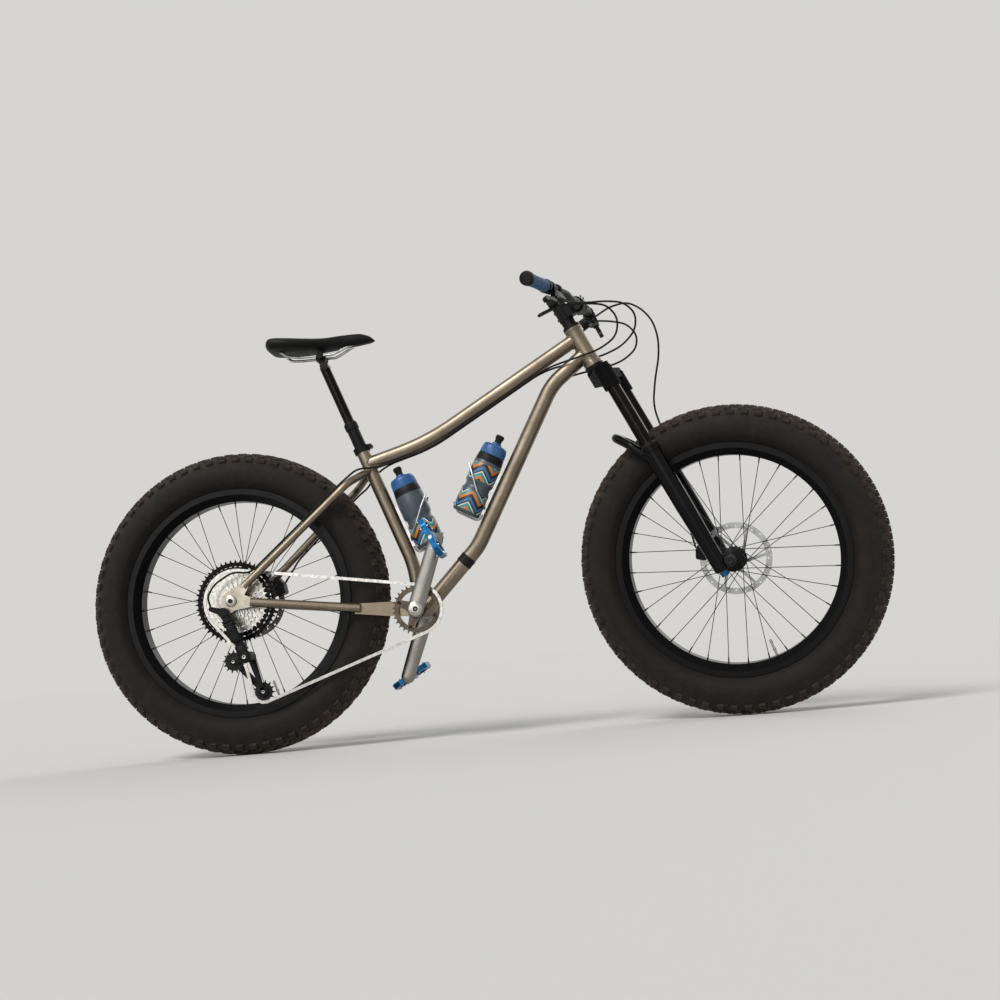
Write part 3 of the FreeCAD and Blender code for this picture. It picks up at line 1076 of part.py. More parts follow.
BOTTLE_GAP = 8
down_stand = size("down_tube_dia") / 2 + size("bottle_dia") / 2 + BOTTLE_GAP
seat_stand = size("seat_tube_dia") / 2 + size("bottle_dia") / 2 + BOTTLE_GAP
down_base = DOWN_BENDS[1] + DOWN_AXIS * 62 - DOWN_SQUARE * down_stand
seat_base = along_seat(-300, seat_stand)
keep(group("bottle_pair", bottle("bottle_down", down_base, DOWN_AXIS), bottle("bottle_seat", seat_base, UP_SEAT)),
     "bottles")
cage_gap = BOTTLE_GAP - 0.7
keep(group("cage_pair", cage("cage_down", down_base, DOWN_AXIS, DOWN_SQUARE, cage_gap),
           cage("cage_seat", seat_base, UP_SEAT, AHEAD_SEAT * -1, cage_gap)), "bottle_cages")

# Hoses and housings: whole tubes from the controls to the caliper, post, derailleur and rear brake
def control_point(x, y, z, left=False):
    """A point of the right control frame, or of its mirror image on the left, before steering."""
    point = CONTROL.multVec(Vector(x, y, z))
    return Vector(point.x, -point.y, point.z) if left else point


def hose(name, points):
    tube = swept(name, points, "dims.hose_dia / 2")
    edges = tube.Spine[0].Shape.Edges
    bends = [edge.Curve.Radius for edge in edges if hasattr(edge.Curve, "Radius")]
    length = sum(edge.Length for edge in edges)
    print(name, "length %.0f" % length, "bends", [round(bend) for bend in bends])
    return tube, length


to_fork = FORK.inverse()
front_route = [to_fork.multVec(control_point(-56.2, 26, 0, True)), to_fork.multVec(control_point(-90, 26, 0, True))]
front_route += [Vector(*point) for point in (
    (100, 112, 726), (148, 78, 704), (172, 60, 664), (180, 54, 622), (170, 56, 578), (146, 66, 538), (104, 90, 494),
    (66, 112, 444), (54, 114, 384), (48, 111, 322), (38, 110.5, 262), (20, 112.5, 206), (-2, 106, 156), (-16, 92, 112),
    (-23, 79, 74))]
front_tube, front_length = hose("front_hose", front_route)
keep(front_tube, "front_brake_hose", STEERED_FORK)

UNDER = size("top_tube_dia") / 2 + size("hose_dia") / 2 + 0.2


def under_top_tube(side):
    """Two runs under the top tube, to one side of its middle, with the corner below its bend."""
    lift = math.sqrt(UNDER ** 2 - 9 ** 2)
    front_down = (TOP_FRONT - TOP_BEND).cross(SIDE).normalize() * -lift
    rear_down = (TOP_BEND - TOP_REAR).cross(SIDE).normalize() * -lift
    if front_down.z > 0:
        front_down, rear_down = front_down * -1, rear_down * -1
    front_way, rear_way = (TOP_FRONT - TOP_BEND).normalize(), (TOP_REAR - TOP_BEND).normalize()
    aside = SIDE * 9 * side
    middle = (front_down + rear_down).normalize() * (lift / math.cos(front_down.getAngle(rear_down) / 2))
    return [TOP_BEND + front_way * 345 + front_down + aside, TOP_BEND + middle + aside,
            TOP_BEND + rear_way * 108 + rear_down + aside]


def along_stay(side, drop, above=False):
    """The corner and the lower end of a run along the upper side or the underside of a seat stay."""
    bend = CRANK + Vector(-152, side * 71, 327)
    end = SEATSTAY_END + SIDE * side * DROP_MID
    way = (end - bend).normalize()
    off = Vector(-way.z, 0, way.x).normalize() * (size("seatstay_dia") / 2 + size("hose_dia") / 2 + 0.6)
    if above:
        off = off * -1
    return [bend + off + way * 10, end + off - way * drop]


past_seat_tube = [Vector(*point) for point in ((-244, 20, 687), (-264, 30, 671), (-292, 65, 648))]
over_wishbone = [Vector(*point) for point in ((-244, -21, 689), (-268, -32, 690), (-296, -46, 686))]
rear_route = [STEER.multVec(control_point(-56.2, 26, 0)), STEER.multVec(control_point(-92, 26, 0))]
rear_route += [Vector(*point) for point in ((318, -104, 1036), (366, -62, 1046), (410, -28, 1046), (438, 0, 1022),
                                            (434, 22, 984), (398, 36, 950), (346, 40, 930), (282, 34, 919))]
rear_route += under_top_tube(LEFT) + past_seat_tube + along_stay(LEFT, 118)
rear_route += [Vector(-504, 84, 458), Vector(-526.5, 80, 425)]
gear_route = [STEER.multVec(control_point(-60.2, 18, -23)), STEER.multVec(control_point(-92, 18, -23))]
gear_route += [Vector(*point) for point in ((322, -96, 1036), (366, -72, 1034), (392, -56, 1002), (384, -46, 958),
                                            (340, -42, 930), (282, -34, 917))]
gear_route += under_top_tube(RIGHT) + over_wishbone + along_stay(RIGHT, 34, True)
gear_route += [REAR + Vector(*point) for point in ((10, -108, 72), (-38, -113, 44), (-56, -114, 14), (-49.6, -114, -9.6))]
post_route = [STEER.multVec(control_point(-60.2, 18, -23, True)), STEER.multVec(control_point(-92, 18, -23, True))]
post_route += [Vector(*point) for point in ((372, 74, 1026), (414, 48, 1008), (437, 34, 974), (432, 32, 938),
                                            (398, 36, 912), (346, 40, 897), (296, 30, 890), (263, 21, 882))]
frame_tubes = [hose(name, route) for name, route in
               (("rear_hose", rear_route), ("gear_housing", gear_route), ("post_housing", post_route))]
keep(group("frame_hoses", *[tube for tube, length in frame_tubes]), "frame_lines")

DOC.recompute()
for tube, length in [(front_tube, front_length)] + frame_tubes:
    print(tube.Name, "volume against section x length:",
          round(tube.Shape.Volume / (math.pi * size("hose_dia") ** 2 / 4 * length), 4))
for item in DOC.Objects:
    if "Invalid" in item.State or "Error" in item.State:
        raise RuntimeError("%s did not build: %s" % (item.Name, item.State))
for piece in PIECES:
    if piece.Shape.isNull() or not piece.Shape.isValid() or not piece.Shape.Solids:
        raise RuntimeError("%s has no valid solid" % piece.Label)
os.makedirs("parts", exist_ok=True)
for piece in PIECES:
    piece.Shape.exportStep("parts/%s.step" % piece.Label)
print(len(PIECES), "pieces; cage turn", round(CAGE_TURN, 3))
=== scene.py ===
import json
import math

import bmesh
import bpy
from mathutils import Matrix, Vector

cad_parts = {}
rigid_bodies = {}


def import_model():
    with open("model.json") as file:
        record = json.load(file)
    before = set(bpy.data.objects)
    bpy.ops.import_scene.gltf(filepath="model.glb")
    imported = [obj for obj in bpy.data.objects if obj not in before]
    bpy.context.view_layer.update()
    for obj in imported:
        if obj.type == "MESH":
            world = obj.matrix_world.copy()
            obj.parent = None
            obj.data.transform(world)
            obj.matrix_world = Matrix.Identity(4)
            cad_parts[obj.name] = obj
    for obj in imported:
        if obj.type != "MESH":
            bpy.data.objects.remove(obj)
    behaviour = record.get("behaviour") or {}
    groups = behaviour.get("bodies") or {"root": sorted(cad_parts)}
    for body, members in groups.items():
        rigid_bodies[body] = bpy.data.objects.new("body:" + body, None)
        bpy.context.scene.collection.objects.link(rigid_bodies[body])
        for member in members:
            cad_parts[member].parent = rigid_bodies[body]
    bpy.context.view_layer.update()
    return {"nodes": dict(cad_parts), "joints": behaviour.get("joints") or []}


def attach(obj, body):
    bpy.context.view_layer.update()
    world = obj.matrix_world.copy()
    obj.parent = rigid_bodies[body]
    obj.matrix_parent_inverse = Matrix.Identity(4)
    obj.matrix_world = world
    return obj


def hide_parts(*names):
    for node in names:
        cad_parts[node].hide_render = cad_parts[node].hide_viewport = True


for leftover in list(bpy.data.objects):
    bpy.data.objects.remove(leftover)
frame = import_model()
MM = 0.001

# The studio: a wide pale floor that runs into an equally pale surround, lit by three broad soft lamps and the
# surround itself. The camera stands low on the drive side, as the photographer did, with a slight roll.
FLOOR_TONE, FLOOR_HALF = "#d9d8d5", 60.0
SURROUND_TONE, SURROUND_LIGHT = "#d6d5d2", 0.34
EYE = Vector((341.9, -3453.4, 200.0)) * MM
YAW, PITCH, ROLL = (math.radians(angle) for angle in (-4.74, 6.27, 4.81))
SENSOR = 36.0
FOCAL_SHARE = 1385.7 / 1000
# Lamps: name, strength, then spread, lean and turn in degrees
LAMPS = [("key_lamp", 1.9, 26, 44, -34), ("front_lamp", 0.75, 44, 78, -20), ("fill_lamp", 0.6, 50, 55, 150)]


def linear(code):
    """Linear colour, with alpha, of an sRGB hex value."""
    shares = [int(code[i:i + 2], 16) / 255 for i in (1, 3, 5)]
    return [s / 12.92 if s <= 0.04045 else ((s + 0.055) / 1.055) ** 2.4 for s in shares] + [1.0]


def add(tree, kind, inputs=None, stops=(), **settings):
    """A shader node with its settings and links; stops are a ramp's (place, hex colour) pairs."""
    node = tree.nodes.new("ShaderNode" + kind)
    for name, setting in settings.items():
        setattr(node, name, setting)
    for socket, source in (inputs or {}).items():
        if isinstance(source, bpy.types.NodeSocket):
            tree.links.new(source, node.inputs[socket])
        else:
            node.inputs[socket].default_value = source
    for number, (at, colour) in enumerate(stops):
        ramp = node.color_ramp.elements
        stop = ramp[number] if number < len(ramp) else ramp.new(at)
        stop.position, stop.color = at, linear(colour)
    return node


def new_material(name):
    """A new material, with its node tree and shader."""
    material = bpy.data.materials.new(name)
    material.use_nodes = True
    return material, material.node_tree, material.node_tree.nodes["Principled BSDF"]


scene = bpy.context.scene
camera = bpy.data.objects.new("photo_camera", bpy.data.cameras.new("photo_camera"))
camera.data.sensor_width, camera.data.lens = SENSOR, SENSOR * FOCAL_SHARE
ahead = Vector((math.sin(YAW) * math.cos(PITCH), math.cos(YAW) * math.cos(PITCH), math.sin(PITCH)))
across = ahead.cross(Vector((0, 0, 1))).normalized()
tilt = Matrix.Rotation(ROLL, 3, ahead)
axes = Matrix((tilt @ across, tilt @ across.cross(ahead), -ahead)).transposed()
camera.matrix_world = Matrix.Translation(EYE) @ axes.to_4x4()
scene.collection.objects.link(camera)
scene.camera = camera
scene.view_settings.view_transform = "Standard"

ground = bmesh.new()
bmesh.ops.create_grid(ground, x_segments=8, y_segments=8, size=FLOOR_HALF)
ground_mesh = bpy.data.meshes.new("studio_floor")
ground.to_mesh(ground_mesh)
ground.free()
studio_floor = bpy.data.objects.new("studio_floor", ground_mesh)
scene.collection.objects.link(studio_floor)
# Matt painted floor: plain, pale and without gloss
floor_paint, _, shader = new_material("matt_floor_paint")
shader.inputs["Base Color"].default_value = linear(FLOOR_TONE)
shader.inputs["Roughness"].default_value = 0.95
shader.inputs["Specular IOR Level"].default_value = 0.1
ground_mesh.materials.append(floor_paint)

surround = bpy.data.worlds.new("soft_surround")
surround.use_nodes = True
scene.world = surround
sky = surround.node_tree
sky.nodes.clear()
ray = add(sky, "LightPath")
seen = add(sky, "Math", {0: ray.outputs["Is Camera Ray"], 1: ray.outputs["Is Glossy Ray"]}, operation="MAXIMUM")
seen = add(sky, "Math", {0: seen.outputs[0], 1: ray.outputs["Is Transmission Ray"]}, operation="MAXIMUM")
lighting = add(sky, "Background", {"Color": linear("#ffffff"), "Strength": SURROUND_LIGHT})
pale = add(sky, "Background", {"Color": linear(SURROUND_TONE), "Strength": 1.0})
mixed = add(sky, "MixShader", {0: seen.outputs[0], 1: lighting.outputs[0], 2: pale.outputs[0]})
add(sky, "OutputWorld", {"Surface": mixed.outputs[0]})
for label, strength, spread, lean, turn in LAMPS:
    lamp = bpy.data.objects.new(label, bpy.data.lights.new(label, "SUN"))
    lamp.data.energy, lamp.data.angle = strength, math.radians(spread)
    lamp.rotation_euler = (math.radians(lean), 0, math.radians(turn))
    scene.collection.objects.link(lamp)

# The frame: bent titanium tubes, TIG welded and bead blasted, with machined dropouts and a flat yoke plate
# behind the crank. A welded joint shows as a ring of small overlapping ripples, and a moulded rubber guard
# band is stretched round the down tube, just below its lower bend.
JOINT = {joint["name"]: joint for joint in frame["joints"]}
# The part of a noise's range over which a finish goes from one end to the other
TONE_SPAN, GLOSS_SPAN = (0.32, 0.68), (0.3, 0.7)
SHARP_EDGE = math.radians(38)


def joint_at(name):
    """A joint's place in mm."""
    return Vector(JOINT[name]["pos_m"]) / MM


def finish(name, shade, light, patch, grit, depth, rough, **sockets):
    """A finish whose tone and gloss drift over patches, with a fine grit in relief; sizes in mm."""
    material, tree, shader = new_material(name)
    place = add(tree, "TexCoord").outputs["Object"]
    drift = add(tree, "TexNoise", {"Vector": place, "Scale": 1 / (patch * MM), "Detail": 4.0, "Roughness": 0.62})
    tone = add(tree, "ValToRGB", {"Fac": drift.outputs["Fac"]}, stops=tuple(zip(TONE_SPAN, (shade, light))))
    gloss = add(tree, "MapRange", {"Value": drift.outputs["Fac"], "From Min": GLOSS_SPAN[0],
                                   "From Max": GLOSS_SPAN[1], "To Min": rough[1], "To Max": rough[0]})
    grain = add(tree, "TexNoise", {"Vector": place, "Scale": 1 / (grit * MM), "Detail": 2.0})
    relief = add(tree, "Bump", {"Height": grain.outputs["Fac"], "Strength": 0.5, "Distance": depth * MM})
    tree.links.new(tone.outputs["Color"], shader.inputs["Base Color"])
    tree.links.new(gloss.outputs["Result"], shader.inputs["Roughness"])
    tree.links.new(relief.outputs["Normal"], shader.inputs["Normal"])
    for socket, amount in sockets.items():
        shader.inputs[socket.replace("_", " ")].default_value = amount
    return material


def dress(material, *names):
    """Gives CAD pieces their finish."""
    for name in names:
        slots = frame["nodes"][name].data.materials
        slots.clear()
        slots.append(material)


def piece(name, body, form, material, place=Matrix(), own_axes=False):
    """Makes an object of a bmesh and lets it ride on a body; own_axes keeps place as the object's own frame."""
    bmesh.ops.recalc_face_normals(form, faces=form.faces)
    if not own_axes:
        form.transform(place)
    mesh = bpy.data.meshes.new(name)
    form.to_mesh(mesh)
    form.free()
    for face in mesh.polygons:
        face.use_smooth = True
    mesh.set_sharp_from_angle(angle=SHARP_EDGE)
    mesh.materials.append(material)
    made = bpy.data.objects.new(name, mesh)
    scene.collection.objects.link(made)
    if own_axes:
        made.matrix_world = place
    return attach(made, body)


def stand(at, way):
    """A place whose Z runs along way; at is in mm."""
    turn = Vector((0, 0, 1)).rotation_difference(Vector(way))
    return Matrix.Translation(Vector(at) * MM) @ turn.to_matrix().to_4x4()


def spun(way, count):
    """Unit vectors square to a way, evenly turned round it."""
    u = way.orthogonal().normalized()
    v = way.cross(u)
    return [u * math.cos(t) + v * math.sin(t) for t in (2 * math.pi * k / count for k in range(count))]


def skin(form, rings, around=True, closed=False):
    """Faces between neighbouring rings of vertices; a ring of one vertex is a pole."""
    for near, far in zip(rings, rings[1:] + rings[:1] if closed else rings[1:]):
        count = max(len(near), len(far))
        for k in range(count if around else count - 1):
            after = (k + 1) % count
            corners = [near[k % len(near)], near[after % len(near)], far[after % len(far)], far[k % len(far)]]
            form.faces.new(list(dict.fromkeys(corners)))


def turn_outline(form, outline, steps, lift=Matrix()):
    """Adds a turned form to a bmesh; outline lists (radius, height) in mm round Z."""
    rings = []
    for radius, height in outline:
        turns = [2 * math.pi * k / steps for k in range(steps if radius > 0 else 1)]
        rings.append([form.verts.new(lift @ (Vector((radius * math.cos(t), radius * math.sin(t), height)) * MM))
                      for t in turns])
    skin(form, rings)


# Bead-blasted titanium: warm grey metal with a soft sheen. The blasting's grit is drawn at 1.6 mm so that it
# shows, and handling leaves cloudy patches about 70 mm across.
titanium = finish("blasted_titanium", "#74695b", "#8b7f6f", 70, 1.6, 0.05, (0.32, 0.44), Metallic=1.0)
# Machined titanium: the same metal, brighter and smoother where a cutter has passed
machined = finish("machined_titanium", "#8f877b", "#a69e92", 25, 0.8, 0.02, (0.22, 0.32), Metallic=1.0)
# Weld metal: titanium that froze in ripples, a touch darker and straw-tinted by the heat
weld_metal = finish("titanium_weld", "#7a6f60", "#91856f", 8, 1.2, 0.05, (0.30, 0.40), Metallic=1.0)
# Nitrile rubber: soft matt black of seals and hoses
nitrile = finish("nitrile_rubber", "#0a0a0a", "#131312", 14, 1.0, 0.03, (0.5, 0.62), Specular_IOR_Level=0.22)
dress(titanium, "head_tube", "top_tube", "down_tube", "seat_tube", "bb_shell", "chainstays", "seatstays")
dress(machined, "dropouts")

# A weld bead's radius, the length of a ripple, how far ripples sink and swell, and the sides of its section
WELD_BEAD, WELD_RIPPLE, WELD_SWELL, WELD_SIDES = 2.4, 3.0, (0.9, 1.06), 8


def weld(name, tube, host):
    """A rippled bead where a tube meets its host; both are (point, way, radius) in mm, ways off the joint."""
    tube_at, tube_way, radius = Vector(tube[0]), Vector(tube[1]).normalized(), tube[2]
    host_at, host_way, reach = Vector(host[0]), Vector(host[1]).normalized(), host[2]
    steps = 4 * round(math.pi * radius / WELD_RIPPLE)
    path = []
    for out in spun(tube_way, steps):
        # Along the tube's side, the far crossing with the host's cylinder
        off = tube_at + out * radius - host_at
        off -= host_way * off.dot(host_way)
        way = tube_way - host_way * tube_way.dot(host_way)
        a, b, c = way.dot(way), off.dot(way), off.dot(off) - reach ** 2
        crossing = (-b + math.sqrt(max(b * b - a * c, 0))) / a
        path.append((tube_at + out * radius + tube_way * crossing, out))
    form = bmesh.new()
    rings = []
    for k, (at, out) in enumerate(path):
        along = (path[(k + 1) % steps][0] - path[k - 1][0]).normalized()
        side = along.cross(out).normalized()
        out = side.cross(along)
        swell = WELD_BEAD * WELD_SWELL[k % 2]
        rings.append([form.verts.new((at + (out * math.cos(t) + side * math.sin(t)) * swell) * MM)
                      for t in (2 * math.pi * j / WELD_SIDES for j in range(WELD_SIDES))])
    skin(form, rings, closed=True)
    piece(name, "frame", form, weld_metal)


# Points of the tubes' middle lines in mm, counted from the steering axis and the crank's centre, and radii
STEER_AT, CRANK = joint_at("steering"), joint_at("crank_spin")
UP_HEAD = Vector(JOINT["steering"]["axis"])
UP_SEAT = Vector((-0.34202, 0, 0.93969))
SEAT_TOP = CRANK + Vector((-123, 0, 422))
SEAT_BEND = SEAT_TOP - UP_SEAT * 325
TOP_FRONT, TOP_BEND = STEER_AT + UP_HEAD * 678, CRANK + Vector((50, 0, 423))
TOP_REAR = CRANK + Vector((-108, 0, 380))
DOWN_TOP, DOWN_HIGH = STEER_AT + UP_HEAD * 633, CRANK + Vector((374, 0, 536))
DOWN_LOW, DOWN_END = CRANK + Vector((155, 0, 146)), CRANK + Vector((8, 0, -2))
TOP_TUBE, DOWN_TUBE, SEAT_TUBE = 17.5, 19.5, 17
HEAD, SHELL, SEAT = (STEER_AT, UP_HEAD, 21.6), (CRANK, (0, 1, 0), 23.2), (SEAT_TOP, UP_SEAT, 17.1)
weld("weld_top_head", (TOP_FRONT, TOP_BEND - TOP_FRONT, TOP_TUBE), HEAD)
weld("weld_down_head", (DOWN_TOP, DOWN_HIGH - DOWN_TOP, DOWN_TUBE), HEAD)
weld("weld_top_seat", (TOP_REAR, TOP_BEND - TOP_REAR, TOP_TUBE), SEAT)
weld("weld_down_shell", (DOWN_END, DOWN_LOW - DOWN_END, DOWN_TUBE), SHELL)
weld("weld_seat_shell", (CRANK, SEAT_BEND - CRANK, SEAT_TUBE), SHELL)

GUARD_BELOW = 34
GUARD = [(19.4, 0), (20.6, 0.8), (20.8, 5), (20.3, 9), (20.3, 15), (20.8, 19), (20.6, 23.2), (19.4, 24)]
form = bmesh.new()
turn_outline(form, GUARD, 64)
guard_way = DOWN_END - DOWN_LOW
guard = piece("down_tube_guard", "frame", form, nitrile,
              stand(DOWN_LOW + guard_way.normalized() * GUARD_BELOW, guard_way))

# The fork: black anodised crown on an alloy steerer, dark coated stanchions, and cast magnesium lowers in
# gloss black with a reversed arch. Rubber wipers seal the lowers, and a blue dial sets the rebound.
BAR_TURN, HEAD_LEAN = math.radians(-11), math.radians(-25)
STEERED = (Matrix.Translation(STEER_AT * MM) @ Matrix.Rotation(BAR_TURN, 4, UP_HEAD)
           @ Matrix.Rotation(HEAD_LEAN, 4, "Y"))
LEG_AHEAD, LEG_SIDE, LEG_TOP = 24, 87, 336
WIPER = [(17.5, 0), (21.5, 0), (22, 2), (21.4, 4.5), (19.5, 5.5), (19, 8), (17.5, 9)]
TOP_CAP = [(0, 567), (9, 567), (10, 566), (16, 565), (17.5, 563.5), (17.5, 561)]
# Gloss black paint over cast magnesium: deep black with a faint orange-peel
gloss_black = finish("gloss_black_paint", "#040405", "#080809", 40, 6, 0.05, (0.2, 0.28),
                     Specular_IOR_Level=0.14)
# Black anodised aluminium: satin black dye in the oxide, with a fine machined grain
anodised = finish("black_anodised_aluminium", "#08080a", "#101012", 18, 0.9, 0.02, (0.44, 0.56),
                  Specular_IOR_Level=0.16)
# Coated stanchion tube: a dark bronze-black mirror finish
stanchion_coat = finish("dark_stanchion_coating", "#1b1917", "#25221f", 30, 1.2, 0.006, (0.14, 0.2),
                        Metallic=1.0)
# Peened crown: black anodising over a forging roughened by shot, which keeps it dull
peened_black = finish("peened_black_forging", "#060607", "#0b0b0c", 20, 1.4, 0.05, (0.62, 0.72),
                      Specular_IOR_Level=0.08)
# Blue anodised aluminium: metal that shines through a blue dye
blue_alloy = finish("blue_anodised_aluminium", "#124a78", "#1f6798", 12, 0.8, 0.02, (0.24, 0.36), Metallic=0.9)
dress(gloss_black, "fork_lowers")
dress(stanchion_coat, "stanchions", "dropper_post")
dress(peened_black, "fork_crown")
dress(anodised, "headset_cups", "front_axle", "front_caliper", "rear_caliper", "seat_clamp")
dress(blue_alloy, "rebound_knob")
wipers, caps = bmesh.new(), bmesh.new()
for side in (-1, 1):
    turn_outline(wipers, WIPER, 48, Matrix.Translation(Vector((LEG_AHEAD, side * LEG_SIDE, LEG_TOP)) * MM))
    turn_outline(caps, TOP_CAP, 36, Matrix.Translation(Vector((LEG_AHEAD, side * LEG_SIDE, 0)) * MM))
piece("fork_wipers", "fork_slider", wipers, nitrile, STEERED)
piece("fork_top_caps", "steering", caps, anodised, STEERED)

# The tyres: fat rubber casings with moulded tread blocks, pressed out by air on the rims. The blocks are moulded
# with the casing, in rows on both sides of the crown.
CASING_MID, CASING_HIGH, CASING_WIDE = 323.0, 52.6, 58.0
BEAD_FOOT, BEAD_TOP, BEAD_SIDE = 275, 287.5, 36.7
CASING_LEANS = [math.radians(angle) for angle in range(-116, 117, 8)]
PITCHES = 66
HOOPS = 3 * PITCHES
# Rows of blocks: lean from the crown in degrees, phase in pitches, length, width, height and number of lengths
TREAD_ROWS = [(9.5, 0.0, 22, 14, 5.05, 2), (28, 0.5, 15, 12, 5.0, 1), (47.5, 0.25, 17, 15, 6.2, 1)]
SIPE = 1.0
BLOCK_ROOT, BLOCK_BEVEL = 2.0, 1.2
REAR, FRONT = joint_at("rear_wheel_spin"), joint_at("front_wheel_spin")
FRONT_AXLE = Vector(JOINT["front_wheel_spin"]["axis"])
FORK_OFFSET = 52
WHEELS = {"rear": Matrix.Translation(REAR * MM),
          "front": STEERED @ Matrix.Translation(Vector((FORK_OFFSET, 0, 0)) * MM)}


def tread_block(form, turn, lean, length, width, height, shift):
    """A moulded block, square on the casing, with drafted sides and a broken top edge; sizes in mm."""
    spoke_way = Vector((math.cos(turn), 0, math.sin(turn)))
    along = Vector((-math.sin(turn), 0, math.cos(turn)))
    side = Vector((0, 1, 0))
    out = spoke_way * math.cos(lean) + side * math.sin(lean)
    over = side * math.cos(lean) - spoke_way * math.sin(lean)
    at = (spoke_way * (CASING_MID + CASING_HIGH * math.cos(lean)) + side * CASING_WIDE * math.sin(lean)
          + along * shift)
    layers = []
    for lift, share in ((-BLOCK_ROOT, 1.1), (height - BLOCK_BEVEL, 0.94), (height, 0.82)):
        layers.append([form.verts.new((at + along * u * length / 2 * share + over * w * width / 2 * share
                                       + out * lift) * MM)
                       for u, w in ((-1, -1), (1, -1), (1, 1), (-1, 1))])
    skin(form, layers)
    form.faces.new(layers[-1])


# Tyre rubber: carbon-black compound, matt, with trail dust on the tread and a cleaner sidewall with fine
# moulded rings 3 mm apart. Dust and rings follow the distance from the axle, so each wheel has its own.
DUST_PATCH, MOULD_RING, PORE = 28, 3, 1.5
DUST_FROM, DUST_FULL = 330, 382
RUBBER = {}
for label, middle, axle in (("rear", REAR, Vector((0, 1, 0))), ("front", FRONT, FRONT_AXLE)):
    RUBBER[label], tree, shader = new_material("dusty_tyre_rubber_" + label)
    place = add(tree, "TexCoord").outputs["Object"]
    spoke = add(tree, "VectorMath", {0: place, 1: middle * MM}, operation="SUBTRACT")
    square = add(tree, "VectorMath", {0: spoke.outputs[0], 1: axle}, operation="CROSS_PRODUCT")
    radius = add(tree, "VectorMath", {0: square.outputs[0]}, operation="LENGTH")
    drift = add(tree, "TexNoise", {"Vector": place, "Scale": 1 / (DUST_PATCH * MM), "Detail": 6.0,
                                   "Roughness": 0.7})
    height = add(tree, "MapRange", {"Value": radius.outputs["Value"], "From Min": DUST_FROM * MM,
                                    "From Max": DUST_FULL * MM, "To Min": -0.22, "To Max": 0.42})
    dust = add(tree, "Math", {0: drift.outputs["Fac"], 1: height.outputs["Result"]}, operation="ADD")
    tone = add(tree, "ValToRGB", {"Fac": dust.outputs[0]},
               stops=((0.25, "#171411"), (0.55, "#221d19"), (0.8, "#352c24"), (1.0, "#4e4134")))
    rings = add(tree, "Math", {0: radius.outputs["Value"], 1: 2 * math.pi / (MOULD_RING * MM)},
                operation="MULTIPLY")
    rings = add(tree, "Math", {0: rings.outputs[0]}, operation="SINE")
    pores = add(tree, "TexNoise", {"Vector": place, "Scale": 1 / (PORE * MM), "Detail": 2.0})
    relief = add(tree, "Math", {0: rings.outputs[0], 1: 0.25, 2: pores.outputs["Fac"]}, operation="MULTIPLY_ADD")
    relief = add(tree, "Bump", {"Height": relief.outputs[0], "Strength": 0.45, "Distance": 0.25 * MM})
    tree.links.new(tone.outputs["Color"], shader.inputs["Base Color"])
    tree.links.new(relief.outputs["Normal"], shader.inputs["Normal"])
    shader.inputs["Roughness"].default_value = 0.72
    shader.inputs["Specular IOR Level"].default_value = 0.2

for label, wheel in WHEELS.items():
    form = bmesh.new()
    profile = [(BEAD_FOOT, -BEAD_SIDE), (BEAD_TOP, -BEAD_SIDE)]
    profile += [(CASING_MID + CASING_HIGH * math.cos(a), CASING_WIDE * math.sin(a)) for a in CASING_LEANS]
    profile += [(BEAD_TOP, BEAD_SIDE), (BEAD_FOOT, BEAD_SIDE)]
    hoops = []
    for turn in (2 * math.pi * step / HOOPS for step in range(HOOPS)):
        hoops.append([form.verts.new(Vector((r * math.cos(turn), y, r * math.sin(turn))) * MM)
                      for r, y in profile])
    skin(form, hoops, around=False, closed=True)
    for lean, phase, length, width, height, lengths in TREAD_ROWS:
        share = length / lengths
        block_long = share - (SIPE if lengths > 1 else 0)
        for side in (-1, 1):
            for number in range(PITCHES):
                turn = 2 * math.pi * (number + phase + 0.25 * side) / PITCHES
                for part in range(lengths):
                    tread_block(form, turn, math.radians(lean * side), block_long, width, height,
                                (part - (lengths - 1) / 2) * share)
    tyre = piece(label + "_tyre_tread", label + "_wheel", form, RUBBER[label], wheel)
    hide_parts(label + "_tyre")

# Rims, hubs and spokes: extruded black rims, turned black hubs, 32 swaged black steel spokes a wheel, laced
# crosswise with nipples, and a bare presta valve in each rim.
# Satin black rim: anodised extrusion, glossier than the small parts
rim_black = finish("anodised_rim_extrusion", "#070708", "#0e0e10", 30, 1.2, 0.015, (0.26, 0.34),
                   Specular_IOR_Level=0.13)
# Black oxide steel: dark wire with a dull metallic glint
spoke_steel = finish("black_oxide_steel", "#1b1a1a", "#2a2827", 20, 0.7, 0.01, (0.3, 0.42), Metallic=0.7)
# Nickel-plated brass: bright warm silver of the valves
nickel = finish("nickel_plated_brass", "#a9a49b", "#c6c1b7", 6, 0.5, 0.01, (0.2, 0.3), Metallic=1.0)
dress(rim_black, "front_rim", "rear_rim")
ABOUT_Y = Matrix.Rotation(math.radians(-90), 4, "X")
# Spokes: their number, the holes by which a spoke leans, and the radii of the holes in flange and rim
SPOKES, LEAN_HOLES, EYELET, RIM_BED = 32, 6, 26.0, 255.8
RIM_HOLES, HEAD_OUT, HEAD_IN = (-12, 12), 3.4, 3.0
BUTT_LONG, BUTT_RADIUS, SPOKE_RADIUS = 14, 1.15, 0.95
NIPPLE_LONG, NIPPLE_RADIUS, NIPPLE_FLARE = 13, 1.5, 1.35
